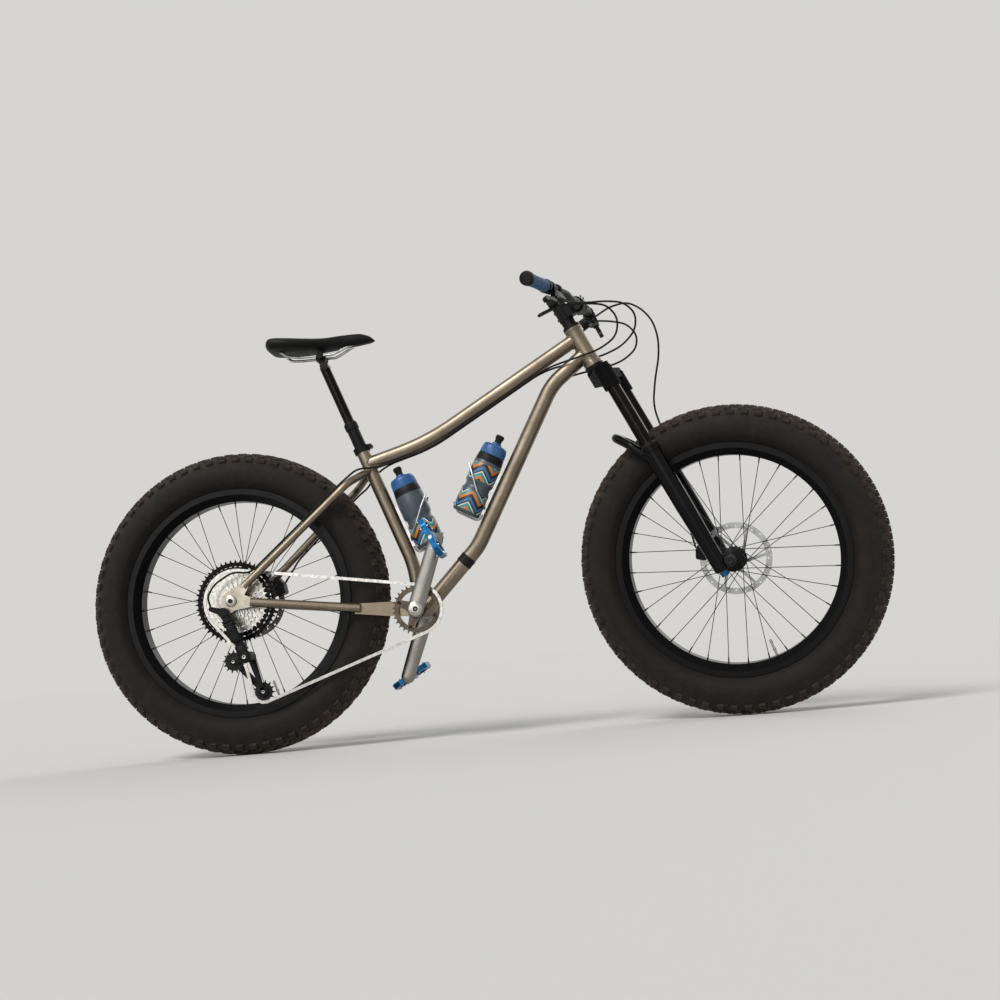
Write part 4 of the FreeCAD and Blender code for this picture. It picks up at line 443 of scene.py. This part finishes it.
# Hubs: the flanges' places along the axle, and the outline of the shell
HUBS = {
    "front": ((-35, 35), [(7.9, -74.6), (11, -74.6), (11, -50), (13, -49), (18, -43), (28, -38), (30, -36.4),
                          (30, -33.6), (28.5, -32.6), (19, -27), (17, -22), (16.4, 0), (17, 22), (19, 27),
                          (28.5, 32.6), (30, 33.6), (30, 36.4), (28, 38), (21, 42), (21, 58.9), (11, 58.9),
                          (11, 74.6), (7.9, 74.6)]),
    "rear": ((-35, 48), [(6.3, -98.1), (9, -98.1), (9, -50.4), (20, -50.4), (20, -42), (29, -38), (31, -36.4),
                         (31, -33.6), (29.5, -32.6), (20, -27), (18, -22), (17.4, 8), (18, 36), (20, 40),
                         (29.5, 45.4), (31, 46.6), (31, 49.4), (29, 51), (22, 56), (22, 76.9), (12, 76.9),
                         (12, 98.1), (6.3, 98.1)]),
}
VALVE = [(3, -6), (3, 18), (4.6, 18), (4.6, 22), (2.9, 22.5), (2.9, 36), (3.6, 36.5), (3.6, 44), (2, 46), (0, 46)]
VALVE_SEAT = 260
VALVE_TURN = {"rear": math.radians(-71.7), "front": math.radians(-96.6)}


def wire(form, start, end, radius, sides=8, taper=1.0):
    """A round wire between two points in mm."""
    outs = spun((end - start).normalized(), sides)
    ends = [[form.verts.new((at + out * radius * share) * MM) for out in outs]
            for at, share in ((start, 1.0), (end, taper))]
    skin(form, ends)
    form.faces.new(ends[0])
    form.faces.new(ends[1])


for label, wheel in WHEELS.items():
    flanges, outline = HUBS[label]
    form = bmesh.new()
    turn_outline(form, outline, 72, ABOUT_Y)
    hub = piece(label + "_hub_shell", label + "_wheel", form, anodised, wheel)
    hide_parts(label + "_hub")
    lacing, nipples = bmesh.new(), bmesh.new()
    for number in range(SPOKES):
        side, lead = number % 2, 1 if (number // 2) % 2 else -1
        start_turn = 2 * math.pi * number / SPOKES
        end_turn = start_turn + lead * LEAN_HOLES * 2 * math.pi / SPOKES
        lie = flanges[side] + lead * HEAD_OUT
        start = Vector((EYELET * math.cos(start_turn), lie, EYELET * math.sin(start_turn)))
        end = Vector((RIM_BED * math.cos(end_turn), RIM_HOLES[side], RIM_BED * math.sin(end_turn)))
        way = (end - start).normalized()
        wire(lacing, start, start + way * BUTT_LONG, BUTT_RADIUS)
        wire(lacing, start + way * (BUTT_LONG - 1), end - way * (NIPPLE_LONG - 2), SPOKE_RADIUS)
        wire(lacing, start, Vector((start.x, flanges[side] - lead * HEAD_IN, start.z)), BUTT_RADIUS)
        wire(nipples, end - way * NIPPLE_LONG, end + way * 0.5, NIPPLE_RADIUS, taper=NIPPLE_FLARE)
    laced = piece(label + "_spokes", label + "_wheel", lacing, spoke_steel, wheel)
    heads = piece(label + "_nipples", label + "_wheel", nipples, spoke_steel, wheel)
    form = bmesh.new()
    turn_outline(form, VALVE, 24)
    inward = Vector((-math.cos(VALVE_TURN[label]), 0, -math.sin(VALVE_TURN[label])))
    valve = piece(label + "_valve", label + "_wheel", form, nickel, wheel @ stand(inward * -VALVE_SEAT, inward))

# The brake rotors and the front axle's head: stamped steel rings, ground bright, each bolted to its hub by six
# small screws. A black steel collar lies under the head of the axle, whose socket is blued.
# Ground stainless steel: bright, with fine grinding marks drawn at 1.2 mm so that they show
steel = finish("ground_stainless_steel", "#9fa0a0", "#bcbcbb", 16, 1.2, 0.02, (0.2, 0.3), Metallic=1.0)
# Black steel screw: blued socket heads with a slight glint
screw_steel = finish("blued_screw_steel", "#1f1f21", "#303033", 5, 0.6, 0.01, (0.28, 0.36), Metallic=0.8)
dress(steel, "front_rotor", "rear_rotor", "saddle_rails", "pedal_axles", "bottle_cages")
SCREW_HEAD = [(0, 0.4), (1.5, 0.4), (1.9, 3.0), (3.6, 3.2), (4.2, 2.6), (4.2, -0.5)]
LEFT, RIGHT = Vector((0, 1, 0)), Vector((0, -1, 0))
ROTOR_SCREWS, ROTOR_CIRCLE, ROTOR_TURN = 6, 17.6, 25
ROTOR_FACE = {"front": 61.0, "rear": 79.0}
AXLE_HEAD, AXLE_SOCKET = Vector((FORK_OFFSET, -98.1, 0)), 4.4
AXLE_COLLAR = [(9.6, 0), (13.6, 0), (14, 0.8), (13, 3.2), (9.6, 3.6)]


def screws(name, body, material, heads, place=Matrix()):
    """Socket-head screws; heads lists (point in mm, way, scale)."""
    form = bmesh.new()
    for at, way, scale in heads:
        turn_outline(form, [(r * scale, h * scale) for r, h in SCREW_HEAD], 18, stand(at, way))
    piece(name, body, form, material, place)


def on_circle(count, first, radius, y):
    """Points evenly spread on a circle round the Y axis, the first at an angle in degrees; sizes in mm."""
    turns = [math.radians(360 / count * k + first) for k in range(count)]
    return [Vector((radius * math.cos(t), y, radius * math.sin(t))) for t in turns]


for label, y in ROTOR_FACE.items():
    screws(label + "_rotor_screws", label + "_wheel", screw_steel,
           [(at, LEFT, 0.7) for at in on_circle(ROTOR_SCREWS, ROTOR_TURN, ROTOR_CIRCLE, y)], WHEELS[label])
form = bmesh.new()
turn_outline(form, AXLE_COLLAR, 48, stand(AXLE_HEAD, RIGHT))
piece("front_axle_collar", "fork_slider", form, spoke_steel, STEERED)
screws("front_axle_socket", "fork_slider", screw_steel,
       [(AXLE_HEAD + RIGHT * AXLE_SOCKET, RIGHT, 2.0)], STEERED)

# The drive: forged grey cranks under turned bolt caps, a machined chainring held by four screws, a plated chain,
# and a wide cassette whose two largest cogs are black and the rest nickel-plated.
# Nickel-plated steel: bright silver chain, axle and bolts
plated = finish("nickel_plated_steel", "#9f9c97", "#c3c0ba", 9, 0.7, 0.02, (0.2, 0.32), Metallic=1.0)
# Forged aluminium, polished and clear anodised: pale grey with a soft gloss
forged = finish("polished_forged_aluminium", "#817e79", "#8f8c86", 90, 0.8, 0.01, (0.25, 0.31), Metallic=1.0)
# Hard-anodised aluminium: a darker bronze-grey on the chainring
hard_coat = finish("hard_anodised_aluminium", "#453f36", "#5e564b", 14, 0.8, 0.02, (0.28, 0.4), Metallic=1.0)
dress(plated, "chain", "rear_axle")
dress(hard_coat, "chainring")
CRANK_TURN, CRANK_LONG, CRANK_HALVES = math.radians(21), 175, (21, 18)
# Heights of a crank from the middle plane: back, widest part and crest; then the boss behind it and the spindle
CRANK_BACK, CRANK_EDGE, CRANK_FACE = 94, 99.5, 107
BOSS_RADIUS, BOSS_START, BOSS_END = 20, {"right": 82, "left": 79}, 96
SPINDLE_RADIUS, SPINDLE_RIGHT, SPINDLE_LEFT = 12, -90, 104
BOLT_CAP = [(5.6, 107), (6.2, 108.4), (15.6, 108.2), (17.4, 107), (17.8, 102)]
BOLT_HEAD = 105.2
RING_SCREWS, RING_CIRCLE, RING_TURN, RING_FACE = 4, 47, 66, -81.4
ROUND_STEPS, CROWN_STEPS = 24, 9


def strap(form, start, end, halves, out, section):
    """Adds a bar with round ends: section lists (share of the half widths, height along out), sizes in mm."""
    reach = (end - start).normalized()
    square = out.cross(reach)
    layers = []
    for share, height in section:
        layer = []
        for at, half, first in ((start, halves[0], math.pi / 2), (end, halves[1], -math.pi / 2)):
            for k in range(ROUND_STEPS + 1):
                turn = first + math.pi * k / ROUND_STEPS
                off = (reach * math.cos(turn) + square * math.sin(turn)) * half * share
                layer.append(form.verts.new((at + off + out * height) * MM))
        layers.append(layer)
    skin(form, layers)
    form.faces.new(layers[0])
    form.faces.new(layers[-1])


def crowned(back, edge, crest):
    """The section of a bar that is rounded on both faces, as heights of back, edge and crest."""
    turns = [math.pi / 2 * (k + 0.2) / (CROWN_STEPS + 0.2) for k in range(CROWN_STEPS + 1)]
    rise = [(math.sin(t), edge + (back - edge) * math.cos(t)) for t in turns]
    return rise + [(math.sin(t), edge + (crest - edge) * math.cos(t)) for t in turns[-2::-1]]


def rod(form, radius, low, high, steps, place):
    """Adds a plain turned rod between two heights in mm."""
    turn_outline(form, [(0, low), (radius, low), (radius, high), (0, high)], steps, place)


for label, outward in (("right", RIGHT), ("left", LEFT)):
    reach = Vector((math.sin(CRANK_TURN), 0, math.cos(CRANK_TURN))) * -outward.y
    form = bmesh.new()
    strap(form, CRANK, CRANK + reach * CRANK_LONG, CRANK_HALVES, outward,
          crowned(CRANK_BACK, CRANK_EDGE, CRANK_FACE))
    rod(form, BOSS_RADIUS, BOSS_START[label], BOSS_END, 48, stand(CRANK, outward))
    if label == "right":
        rod(form, SPINDLE_RADIUS, SPINDLE_RIGHT, SPINDLE_LEFT, 40, stand(CRANK, LEFT))
    arm = piece(label + "_crank_forging", "crankset", form, forged)
    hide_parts("crank_" + label)
screws("chainring_screws", "crankset", screw_steel,
       [(CRANK + at, RIGHT, 1.1) for at in on_circle(RING_SCREWS, RING_TURN, RING_CIRCLE, RING_FACE)])
screws("crank_cap", "crankset", screw_steel,
       [(CRANK + outward * BOLT_HEAD, outward, 1.4) for outward in (RIGHT, LEFT)])
form = bmesh.new()
for outward in (RIGHT, LEFT):
    turn_outline(form, BOLT_CAP, 48, stand(CRANK, outward))
piece("crank_bolt_caps", "crankset", form, plated)

# Cassette: nickel-plated steel, with the two largest and inmost cogs of black anodised aluminium
DARK_COGS_FROM, DARK_COGS = -58.6, "#161414"
cogs = finish("nickel_plated_cogs", "#a19e97", "#c4c1ba", 7, 0.7, 0.02, (0.22, 0.34), Metallic=1.0)
tree = cogs.node_tree
shader = tree.nodes["Principled BSDF"]
parts = add(tree, "SeparateXYZ", {"Vector": add(tree, "TexCoord").outputs["Object"]})
dark = add(tree, "Math", {0: parts.outputs["Y"], 1: DARK_COGS_FROM * MM}, operation="GREATER_THAN")
bright = shader.inputs["Base Color"].links[0].from_socket
two_tone = add(tree, "Mix", {0: dark.outputs[0], 6: bright, 7: linear(DARK_COGS)}, data_type="RGBA")
tree.links.new(two_tone.outputs[2], shader.inputs["Base Color"])
dress(cogs, "cassette")

# The rear axle's end: a plated washer lies on the dropout's face, round a blued socket.
REAR_FACE = REAR + RIGHT * 109.2
WASHER = [(5, 0), (5, 1.4), (13, 1.4), (14, 0.7), (14, 0)]
form = bmesh.new()
turn_outline(form, WASHER, 48, stand(REAR_FACE, RIGHT))
piece("rear_axle_washer", "frame", form, plated)
screws("rear_axle_socket", "frame", screw_steel, [(REAR_FACE, RIGHT, 1.4)])

# The derailleur: black forged links and knuckles under rounded covers, and a cage of two pressed plates that
# carries two nylon pulleys on plated bolts. The covers are fixed on the outer link and the body, clear of the
# pivots' ears.
# Glass-filled nylon: matt black mouldings
nylon = finish("glass_filled_nylon", "#0a0a0a", "#131313", 12, 0.9, 0.04, (0.45, 0.58), Specular_IOR_Level=0.22)
dress(anodised, "derailleur_mount", "derailleur_link_outer", "derailleur_link_inner", "derailleur_body")
dress(nylon, "guide_pulley", "tension_pulley")
LINK_TOP, LINK_LOW = joint_at("gear_shift"), joint_at("derailleur_turn")
CAGE_PIVOT = joint_at("cage_swing")
GUIDE, TENSION = joint_at("upper_pulley_spin"), joint_at("lower_pulley_spin")
LINK_UP = (LINK_TOP - LINK_LOW).normalized()
LINK_COVER, BODY_COVER = crowned(124.6, 126, 131), crowned(122.2, 125, 130)
PRESSED = [(0.88, 0.0), (1.0, 0.6), (1.0, 1.4), (0.88, 2.0)]
OUTER_PLATE = [(share, height - GUIDE.y + 5.2) for share, height in PRESSED]
INNER_PLATE = [(share, height - GUIDE.y - 7.2) for share, height in PRESSED]
PIVOT_RING = [(5.2, 0), (10, 0), (10, 8), (5.2, 8)]
PULLEY_PIN, PIN_HALF = 2.6, RIGHT * 7
PULLEY_BOLT, PIVOT_BOLT = RIGHT * 6.2, RIGHT * 128.6


def on_side(at):
    """The point's place on the middle plane, from which heights to the drive side are counted."""
    return Vector((at.x, 0, at.z))


form = bmesh.new()
strap(form, on_side(LINK_TOP - LINK_UP * 16), on_side(LINK_LOW + LINK_UP * 24), (12, 14), RIGHT, LINK_COVER)
piece("derailleur_link_cover", "outer_link", form, anodised)
form = bmesh.new()
strap(form, on_side(LINK_LOW - LINK_UP * 12), on_side(CAGE_PIVOT), (14, 16), RIGHT, BODY_COVER)
piece("derailleur_body_cover", "derailleur", form, anodised)
form = bmesh.new()
strap(form, on_side(CAGE_PIVOT), on_side(GUIDE), (13, 9), RIGHT, OUTER_PLATE)
strap(form, on_side(CAGE_PIVOT), on_side(TENSION), (10, 5), RIGHT, OUTER_PLATE)
strap(form, on_side(TENSION), on_side(TENSION) + LINK_UP * 0.1, (13, 13), RIGHT, OUTER_PLATE)
strap(form, on_side(GUIDE), on_side(TENSION), (8, 8), RIGHT, INNER_PLATE)
turn_outline(form, PIVOT_RING, 32, stand(CAGE_PIVOT + LEFT * 4, RIGHT))
for at in (GUIDE, TENSION):
    wire(form, at - PIN_HALF, at + PIN_HALF, PULLEY_PIN, 12)
cage = piece("derailleur_pressed_cage", "chain_cage", form, anodised)
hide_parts("derailleur_cage")
screws("pulley_bolts", "chain_cage", plated,
       [(at + PULLEY_BOLT, RIGHT, 1.05) for at in (GUIDE, TENSION)])
screws("cage_pivot_bolt", "derailleur", plated, [(on_side(CAGE_PIVOT) + PIVOT_BOLT, RIGHT, 1.2)])

# The pedals: machined blue platforms with small steel grip pins screwed in from both faces.
dress(blue_alloy, "pedal_right", "pedal_left")
PIN_RADIUS, PIN_FOOT, PIN_TOP, PIN_TAPER = 1.9, 6.5, 10.5, 0.85
PINS = [(x, y) for x in (-46, 46) for y in (-26, 0, 26)] + [(x, y) for y in (-44, 44) for x in (-26, 26)]
for label, slope in (("right", 64), ("left", -31)):
    centre = Vector(JOINT[label + "_pedal_spin"]["pos_m"])
    flat_place = Matrix.Translation(centre) @ Matrix.Rotation(math.radians(slope), 4, "Y")
    form = bmesh.new()
    for x, y in PINS:
        for face in (-1, 1):
            wire(form, Vector((x, y, face * PIN_FOOT)), Vector((x, y, face * PIN_TOP)), PIN_RADIUS, 10, PIN_TAPER)
    pins = piece(label + "_pedal_pins", label + "_pedal", form, steel, flat_place)

# The cockpit: black stem, spacers and swept bar, two-piston brake levers, thumb remotes, and lock-on grips of
# ribbed blue rubber between black alloy collars.
dress(anodised, "stem", "handlebar", "headset_spacers", "brake_masters", "brake_lever_right", "brake_lever_left")
dress(nylon, "remote_bodies", "shift_lever", "dropper_lever")
dress(nitrile, "front_brake_hose", "frame_lines")
# Blue grip rubber: soft and matt, moulded in ribs
grip_rubber = finish("blue_grip_rubber", "#274a6b", "#37618a", 16, 0.9, 0.05, (0.5, 0.62))
# The bar's clamp, counted along the steerer and square to it, and two points of the bar counted from the clamp
CLAMP_UP, CLAMP_AHEAD, AHEAD_HEAD = 748, 42, Vector((0.9063, 0, 0.4226))
BAR_BEND, BAR_END = (-2, 130, 9), (-38, 390, 14)
GRIP_LONG, SLEEVE_FROM, SLEEVE_TO = 130, 11.5, 116
GRIP_BORE, SLEEVE_RIM, GRIP_WAIST, GRIP_FLARE = 11.6, 14.4, 14.6, 0.9
RIBS, RIBS_FROM, RIBS_LONG, RIB_DEEP = 22, 13, 102, 0.9
INNER_COLLAR = [(11.6, 0), (16.2, 0), (17, 1), (17, 10.5), (16.2, 11.5), (11.6, 11.5)]
OUTER_COLLAR = [(11.6, 116), (16.2, 116), (17, 117), (17, 127.5), (16.2, 128.5), (15.6, 131.2), (11, 132),
                (0, 132)]
STEM_SCREWS = ([((61.5, y, CLAMP_UP + z), (1, 0, 0), 0.8) for y in (-17, 17) for z in (-13, 13)]
               + [((-18.5, 0, z), (-1, 0, 0), 0.8) for z in (741, 761)] + [((0, 0, 776.6), (0, 0, 1), 1.0)])
sleeve_outline = [(GRIP_BORE, SLEEVE_FROM), (SLEEVE_RIM, SLEEVE_FROM)]
for rib in range(RIBS):
    low = RIBS_FROM + rib * RIBS_LONG / RIBS
    crest = GRIP_WAIST + GRIP_FLARE * (2 * (rib / (RIBS - 1)) - 1) ** 2
    sleeve_outline += [(crest - RIB_DEEP, low), (crest, low + 0.9), (crest, low + 3.1),
                       (crest - RIB_DEEP, low + 4.0)]
sleeve_outline += [(SLEEVE_RIM, SLEEVE_TO), (GRIP_BORE, SLEEVE_TO)]
for label, side in (("right", -1), ("left", 1)):
    bend, tip = (Vector((x, side * y, z)) for x, y, z in (BAR_BEND, BAR_END))
    swept = (tip - bend).normalized()
    end = STEER_AT + UP_HEAD * CLAMP_UP + AHEAD_HEAD * CLAMP_AHEAD + tip
    start = end - swept * (GRIP_LONG - 2)
    turned_in = (Matrix.Translation(STEER_AT * MM) @ Matrix.Rotation(BAR_TURN, 4, UP_HEAD)
                 @ Matrix.Translation(STEER_AT * -MM) @ stand(start, swept))
    form = bmesh.new()
    turn_outline(form, sleeve_outline, 40)
    sleeve = piece(label + "_grip_sleeve", "steering", form, grip_rubber, turned_in)
    form = bmesh.new()
    turn_outline(form, INNER_COLLAR, 48)
    turn_outline(form, OUTER_COLLAR, 48)
    collars = piece(label + "_grip_collars", "steering", form, anodised, turned_in)
    if side < 0:
        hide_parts("grips")
screws("stem_screws", "steering", screw_steel, STEM_SCREWS, STEERED)

# The seat post and saddle: a black dropper post, and a narrow saddle whose foam is moulded on a nylon shell
# under a black synthetic cover, with a sunken channel along the middle.
dress(anodised, "dropper_outer", "saddle_clamp")
SADDLE_MID = CRANK + Vector((-208, 0, 668))
SADDLE_LONG, SADDLE_WIDE = 282, 137.9
# Cuts across the saddle: place as a share of the length, half width as a share of the width, low and high in mm
SADDLE_CUTS = [(-0.500, 0.30, 27, 47), (-0.440, 0.45, 17, 56), (-0.300, 0.50, 13, 53), (-0.140, 0.44, 13, 48),
               (0.040, 0.30, 14, 46), (0.210, 0.19, 17, 50), (0.370, 0.145, 21, 50), (0.455, 0.115, 24, 42),
               (0.500, 0.06, 26, 33)]
LENGTHS, ROUNDS = 64, 48
# How square the section is across and upwards, how far the underside tucks in, and the rounding of both ends
SQUARE_WIDE, SQUARE_HIGH, TUCK = 0.72, 0.85, 0.10
END_STEPS, END_SHARE = 3, 0.35
CHANNEL_DEEP, CHANNEL_WIDE, CHANNEL_MID, CHANNEL_HALF = 4.5, 8.0, -0.02, 0.36


def saddle_cut(along):
    """Half width, low and high of the saddle at a share of its length, on a smooth curve through the cuts."""
    for k in range(len(SADDLE_CUTS) - 1):
        if along <= SADDLE_CUTS[k + 1][0]:
            break
    rows = [SADDLE_CUTS[min(max(k + j, 0), len(SADDLE_CUTS) - 1)] for j in (-1, 0, 1, 2)]
    t = (along - rows[1][0]) / (rows[2][0] - rows[1][0])
    values = []
    for column in (1, 2, 3):
        a, b, c, d = (row[column] for row in rows)
        values.append(b + 0.5 * t * (c - a + t * (2 * a - 5 * b + 4 * c - d + t * (3 * (b - c) + d - a))))
    return values


# Synthetic saddle cover: close matt black with a fine pebbled grain of about 1.5 mm
cover = finish("synthetic_saddle_cover", "#070707", "#0d0c0c", 24, 1.5, 0.12, (0.46, 0.58),
               Specular_IOR_Level=0.18)
form = bmesh.new()
rows = []
for step in range(LENGTHS + 1):
    along = -0.5 + step / LENGTHS
    half, low, high = saddle_cut(along)
    end = min(min(step, LENGTHS - step) / END_STEPS, 1.0)
    squeeze = END_SHARE + (1 - END_SHARE) * math.sqrt(1 - (1 - end) ** 2)
    row = []
    for k in range(ROUNDS):
        turn = 2 * math.pi * k / ROUNDS
        c, s = math.cos(turn), math.sin(turn)
        y = math.copysign(abs(c) ** SQUARE_WIDE, c) * half * SADDLE_WIDE * squeeze
        z = math.copysign(abs(s) ** SQUARE_HIGH, s) * (high - low) / 2 * squeeze
        if s < 0:
            y *= 1 - TUCK * abs(s)
        if s > 0:
            fade = max(0.0, 1 - (abs(along - CHANNEL_MID) / CHANNEL_HALF) ** 4)
            z -= CHANNEL_DEEP * math.exp(-(y / CHANNEL_WIDE) ** 2) * fade
        row.append(form.verts.new((SADDLE_MID + Vector((along * SADDLE_LONG, y, (low + high) / 2 + z))) * MM))
    rows.append(row)
skin(form, rows)
form.faces.new(rows[0])
form.faces.new(rows[-1])
saddle = piece("saddle_padded_cover", "seat_post", form, cover)
smooth = saddle.modifiers.new("soft_form", "SUBSURF")
smooth.levels = smooth.render_levels = 1
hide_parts("saddle")

# The bottles: blow-moulded smoke-grey polyethylene in polished wire cages, each with a printed band, a blue
# screw cap with grip ribs, a dark collar under it and a dark drinking valve.
DOWN_WAY = (DOWN_HIGH - DOWN_LOW).normalized()
DOWN_SQUARE = Vector((0, 1, 0)).cross(DOWN_WAY)
AHEAD_SEAT = Vector((0.93969, 0, 0.34202))
STANDS = {"down": (DOWN_LOW + DOWN_WAY * 62 - DOWN_SQUARE * 64, DOWN_WAY),
          "seat": (SEAT_TOP - UP_SEAT * 300 + AHEAD_SEAT * 61.5, UP_SEAT)}
BOTTLE = [(0, 1.5), (24, 1.5), (26, 0), (31, 0), (34.5, 1.6), (36.3, 5), (36.3, 60), (35, 64), (32.6, 68),
          (32.2, 73), (32.6, 78), (35, 82), (36.3, 86), (36.3, 136), (35, 142), (30, 154), (27.5, 159)]
LOW_BAND = [(36.2, 8), (36.5, 9), (36.5, 57), (36.2, 58)]
HIGH_BAND = [(36.2, 88), (36.5, 89), (36.5, 131), (36.2, 132)]
CAP = [(29, 160), (32.4, 160.4), (32.8, 162), (31.6, 178), (30.4, 184), (27.5, 187.5), (22, 189), (13, 190),
       (11.5, 194.5), (0, 195)]
# Ribs of the cap: their number, then radius and height of foot and top
CAP_RIBS, RIB_FOOT, RIB_TOP, RIB_RADIUS = 36, (32.4, 162), (31.3, 178), 0.9
NOZZLE = [(9, 194), (9, 203), (11, 206.5), (11, 213.5), (9, 216), (4, 216), (3, 213), (0, 213)]
COLLAR = [(34.6, 140), (35.6, 140.6), (34.4, 150), (33.2, 159.6), (32.4, 160.4)]
# Smoke polyethylene: cloudy grey-blue plastic that lets a little light through
smoke = finish("smoke_polyethylene", "#3c4650", "#55606a", 40, 2.0, 0.03, (0.3, 0.42), Transmission_Weight=0.25,
               Subsurface_Weight=0.1)
# Blue polypropylene cap: moulded, half gloss
cap_blue = finish("blue_polypropylene", "#184a80", "#255f98", 10, 1.0, 0.02, (0.3, 0.42))
# Printed band: a zigzag of orange, teal, cream, blue and black ink over the smoke plastic, which repeats every
# 42 mm of height and has four peaks round the bottle
ZIGZAG_HIGH, ZIGZAG_RISE, ZIGZAG_PEAKS = 42, 30, 4
INKS = ((0.0, "#141619"), (0.22, "#c9762b"), (0.42, "#1f8a93"), (0.62, "#d8cdb4"), (0.70, "#141619"),
        (0.82, "#2b6a9c"))
ink, tree, shader = new_material("printed_bottle_ink")
parts = add(tree, "SeparateXYZ", {"Vector": add(tree, "TexCoord").outputs["Object"]})
turn = add(tree, "Math", {0: parts.outputs["Y"], 1: parts.outputs["X"]}, operation="ARCTAN2")
fold = add(tree, "Math", {0: turn.outputs[0], 1: math.pi / ZIGZAG_PEAKS}, operation="PINGPONG")
slant = add(tree, "Math", {0: fold.outputs[0], 1: ZIGZAG_RISE * MM, 2: parts.outputs["Z"]},
            operation="MULTIPLY_ADD")
bars = add(tree, "Math", {0: slant.outputs[0], 1: 1 / (ZIGZAG_HIGH * MM)}, operation="MULTIPLY")
bars = add(tree, "Math", {0: bars.outputs[0]}, operation="FRACT")
inks = add(tree, "ValToRGB", {"Fac": bars.outputs[0]}, stops=INKS)
inks.color_ramp.interpolation = "CONSTANT"
tree.links.new(inks.outputs["Color"], shader.inputs["Base Color"])
shader.inputs["Roughness"].default_value = 0.38
for label, (at, way) in STANDS.items():
    place = stand(at, way)
    form = bmesh.new()
    turn_outline(form, BOTTLE, 72)
    body = piece(label + "_bottle_body", "frame", form, smoke, place)
    form = bmesh.new()
    turn_outline(form, LOW_BAND, 72)
    if label == "down":
        turn_outline(form, HIGH_BAND, 72)
    band = piece(label + "_bottle_print", "frame", form, ink, place, True)
    form = bmesh.new()
    turn_outline(form, CAP, 72)
    for angle in (2 * math.pi * rib / CAP_RIBS for rib in range(CAP_RIBS)):
        foot, top = (Vector((radius * math.cos(angle), radius * math.sin(angle), height))
                     for radius, height in (RIB_FOOT, RIB_TOP))
        wire(form, foot, top, RIB_RADIUS, 6)
    cap = piece(label + "_bottle_cap", "frame", form, cap_blue, place)
    form = bmesh.new()
    turn_outline(form, NOZZLE, 36)
    nozzle = piece(label + "_bottle_valve", "frame", form, nylon, place)
    form = bmesh.new()
    turn_outline(form, COLLAR, 72)
    collar = piece(label + "_bottle_collar", "frame", form, nylon, place)
    if label == "down":
        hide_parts("bottles")
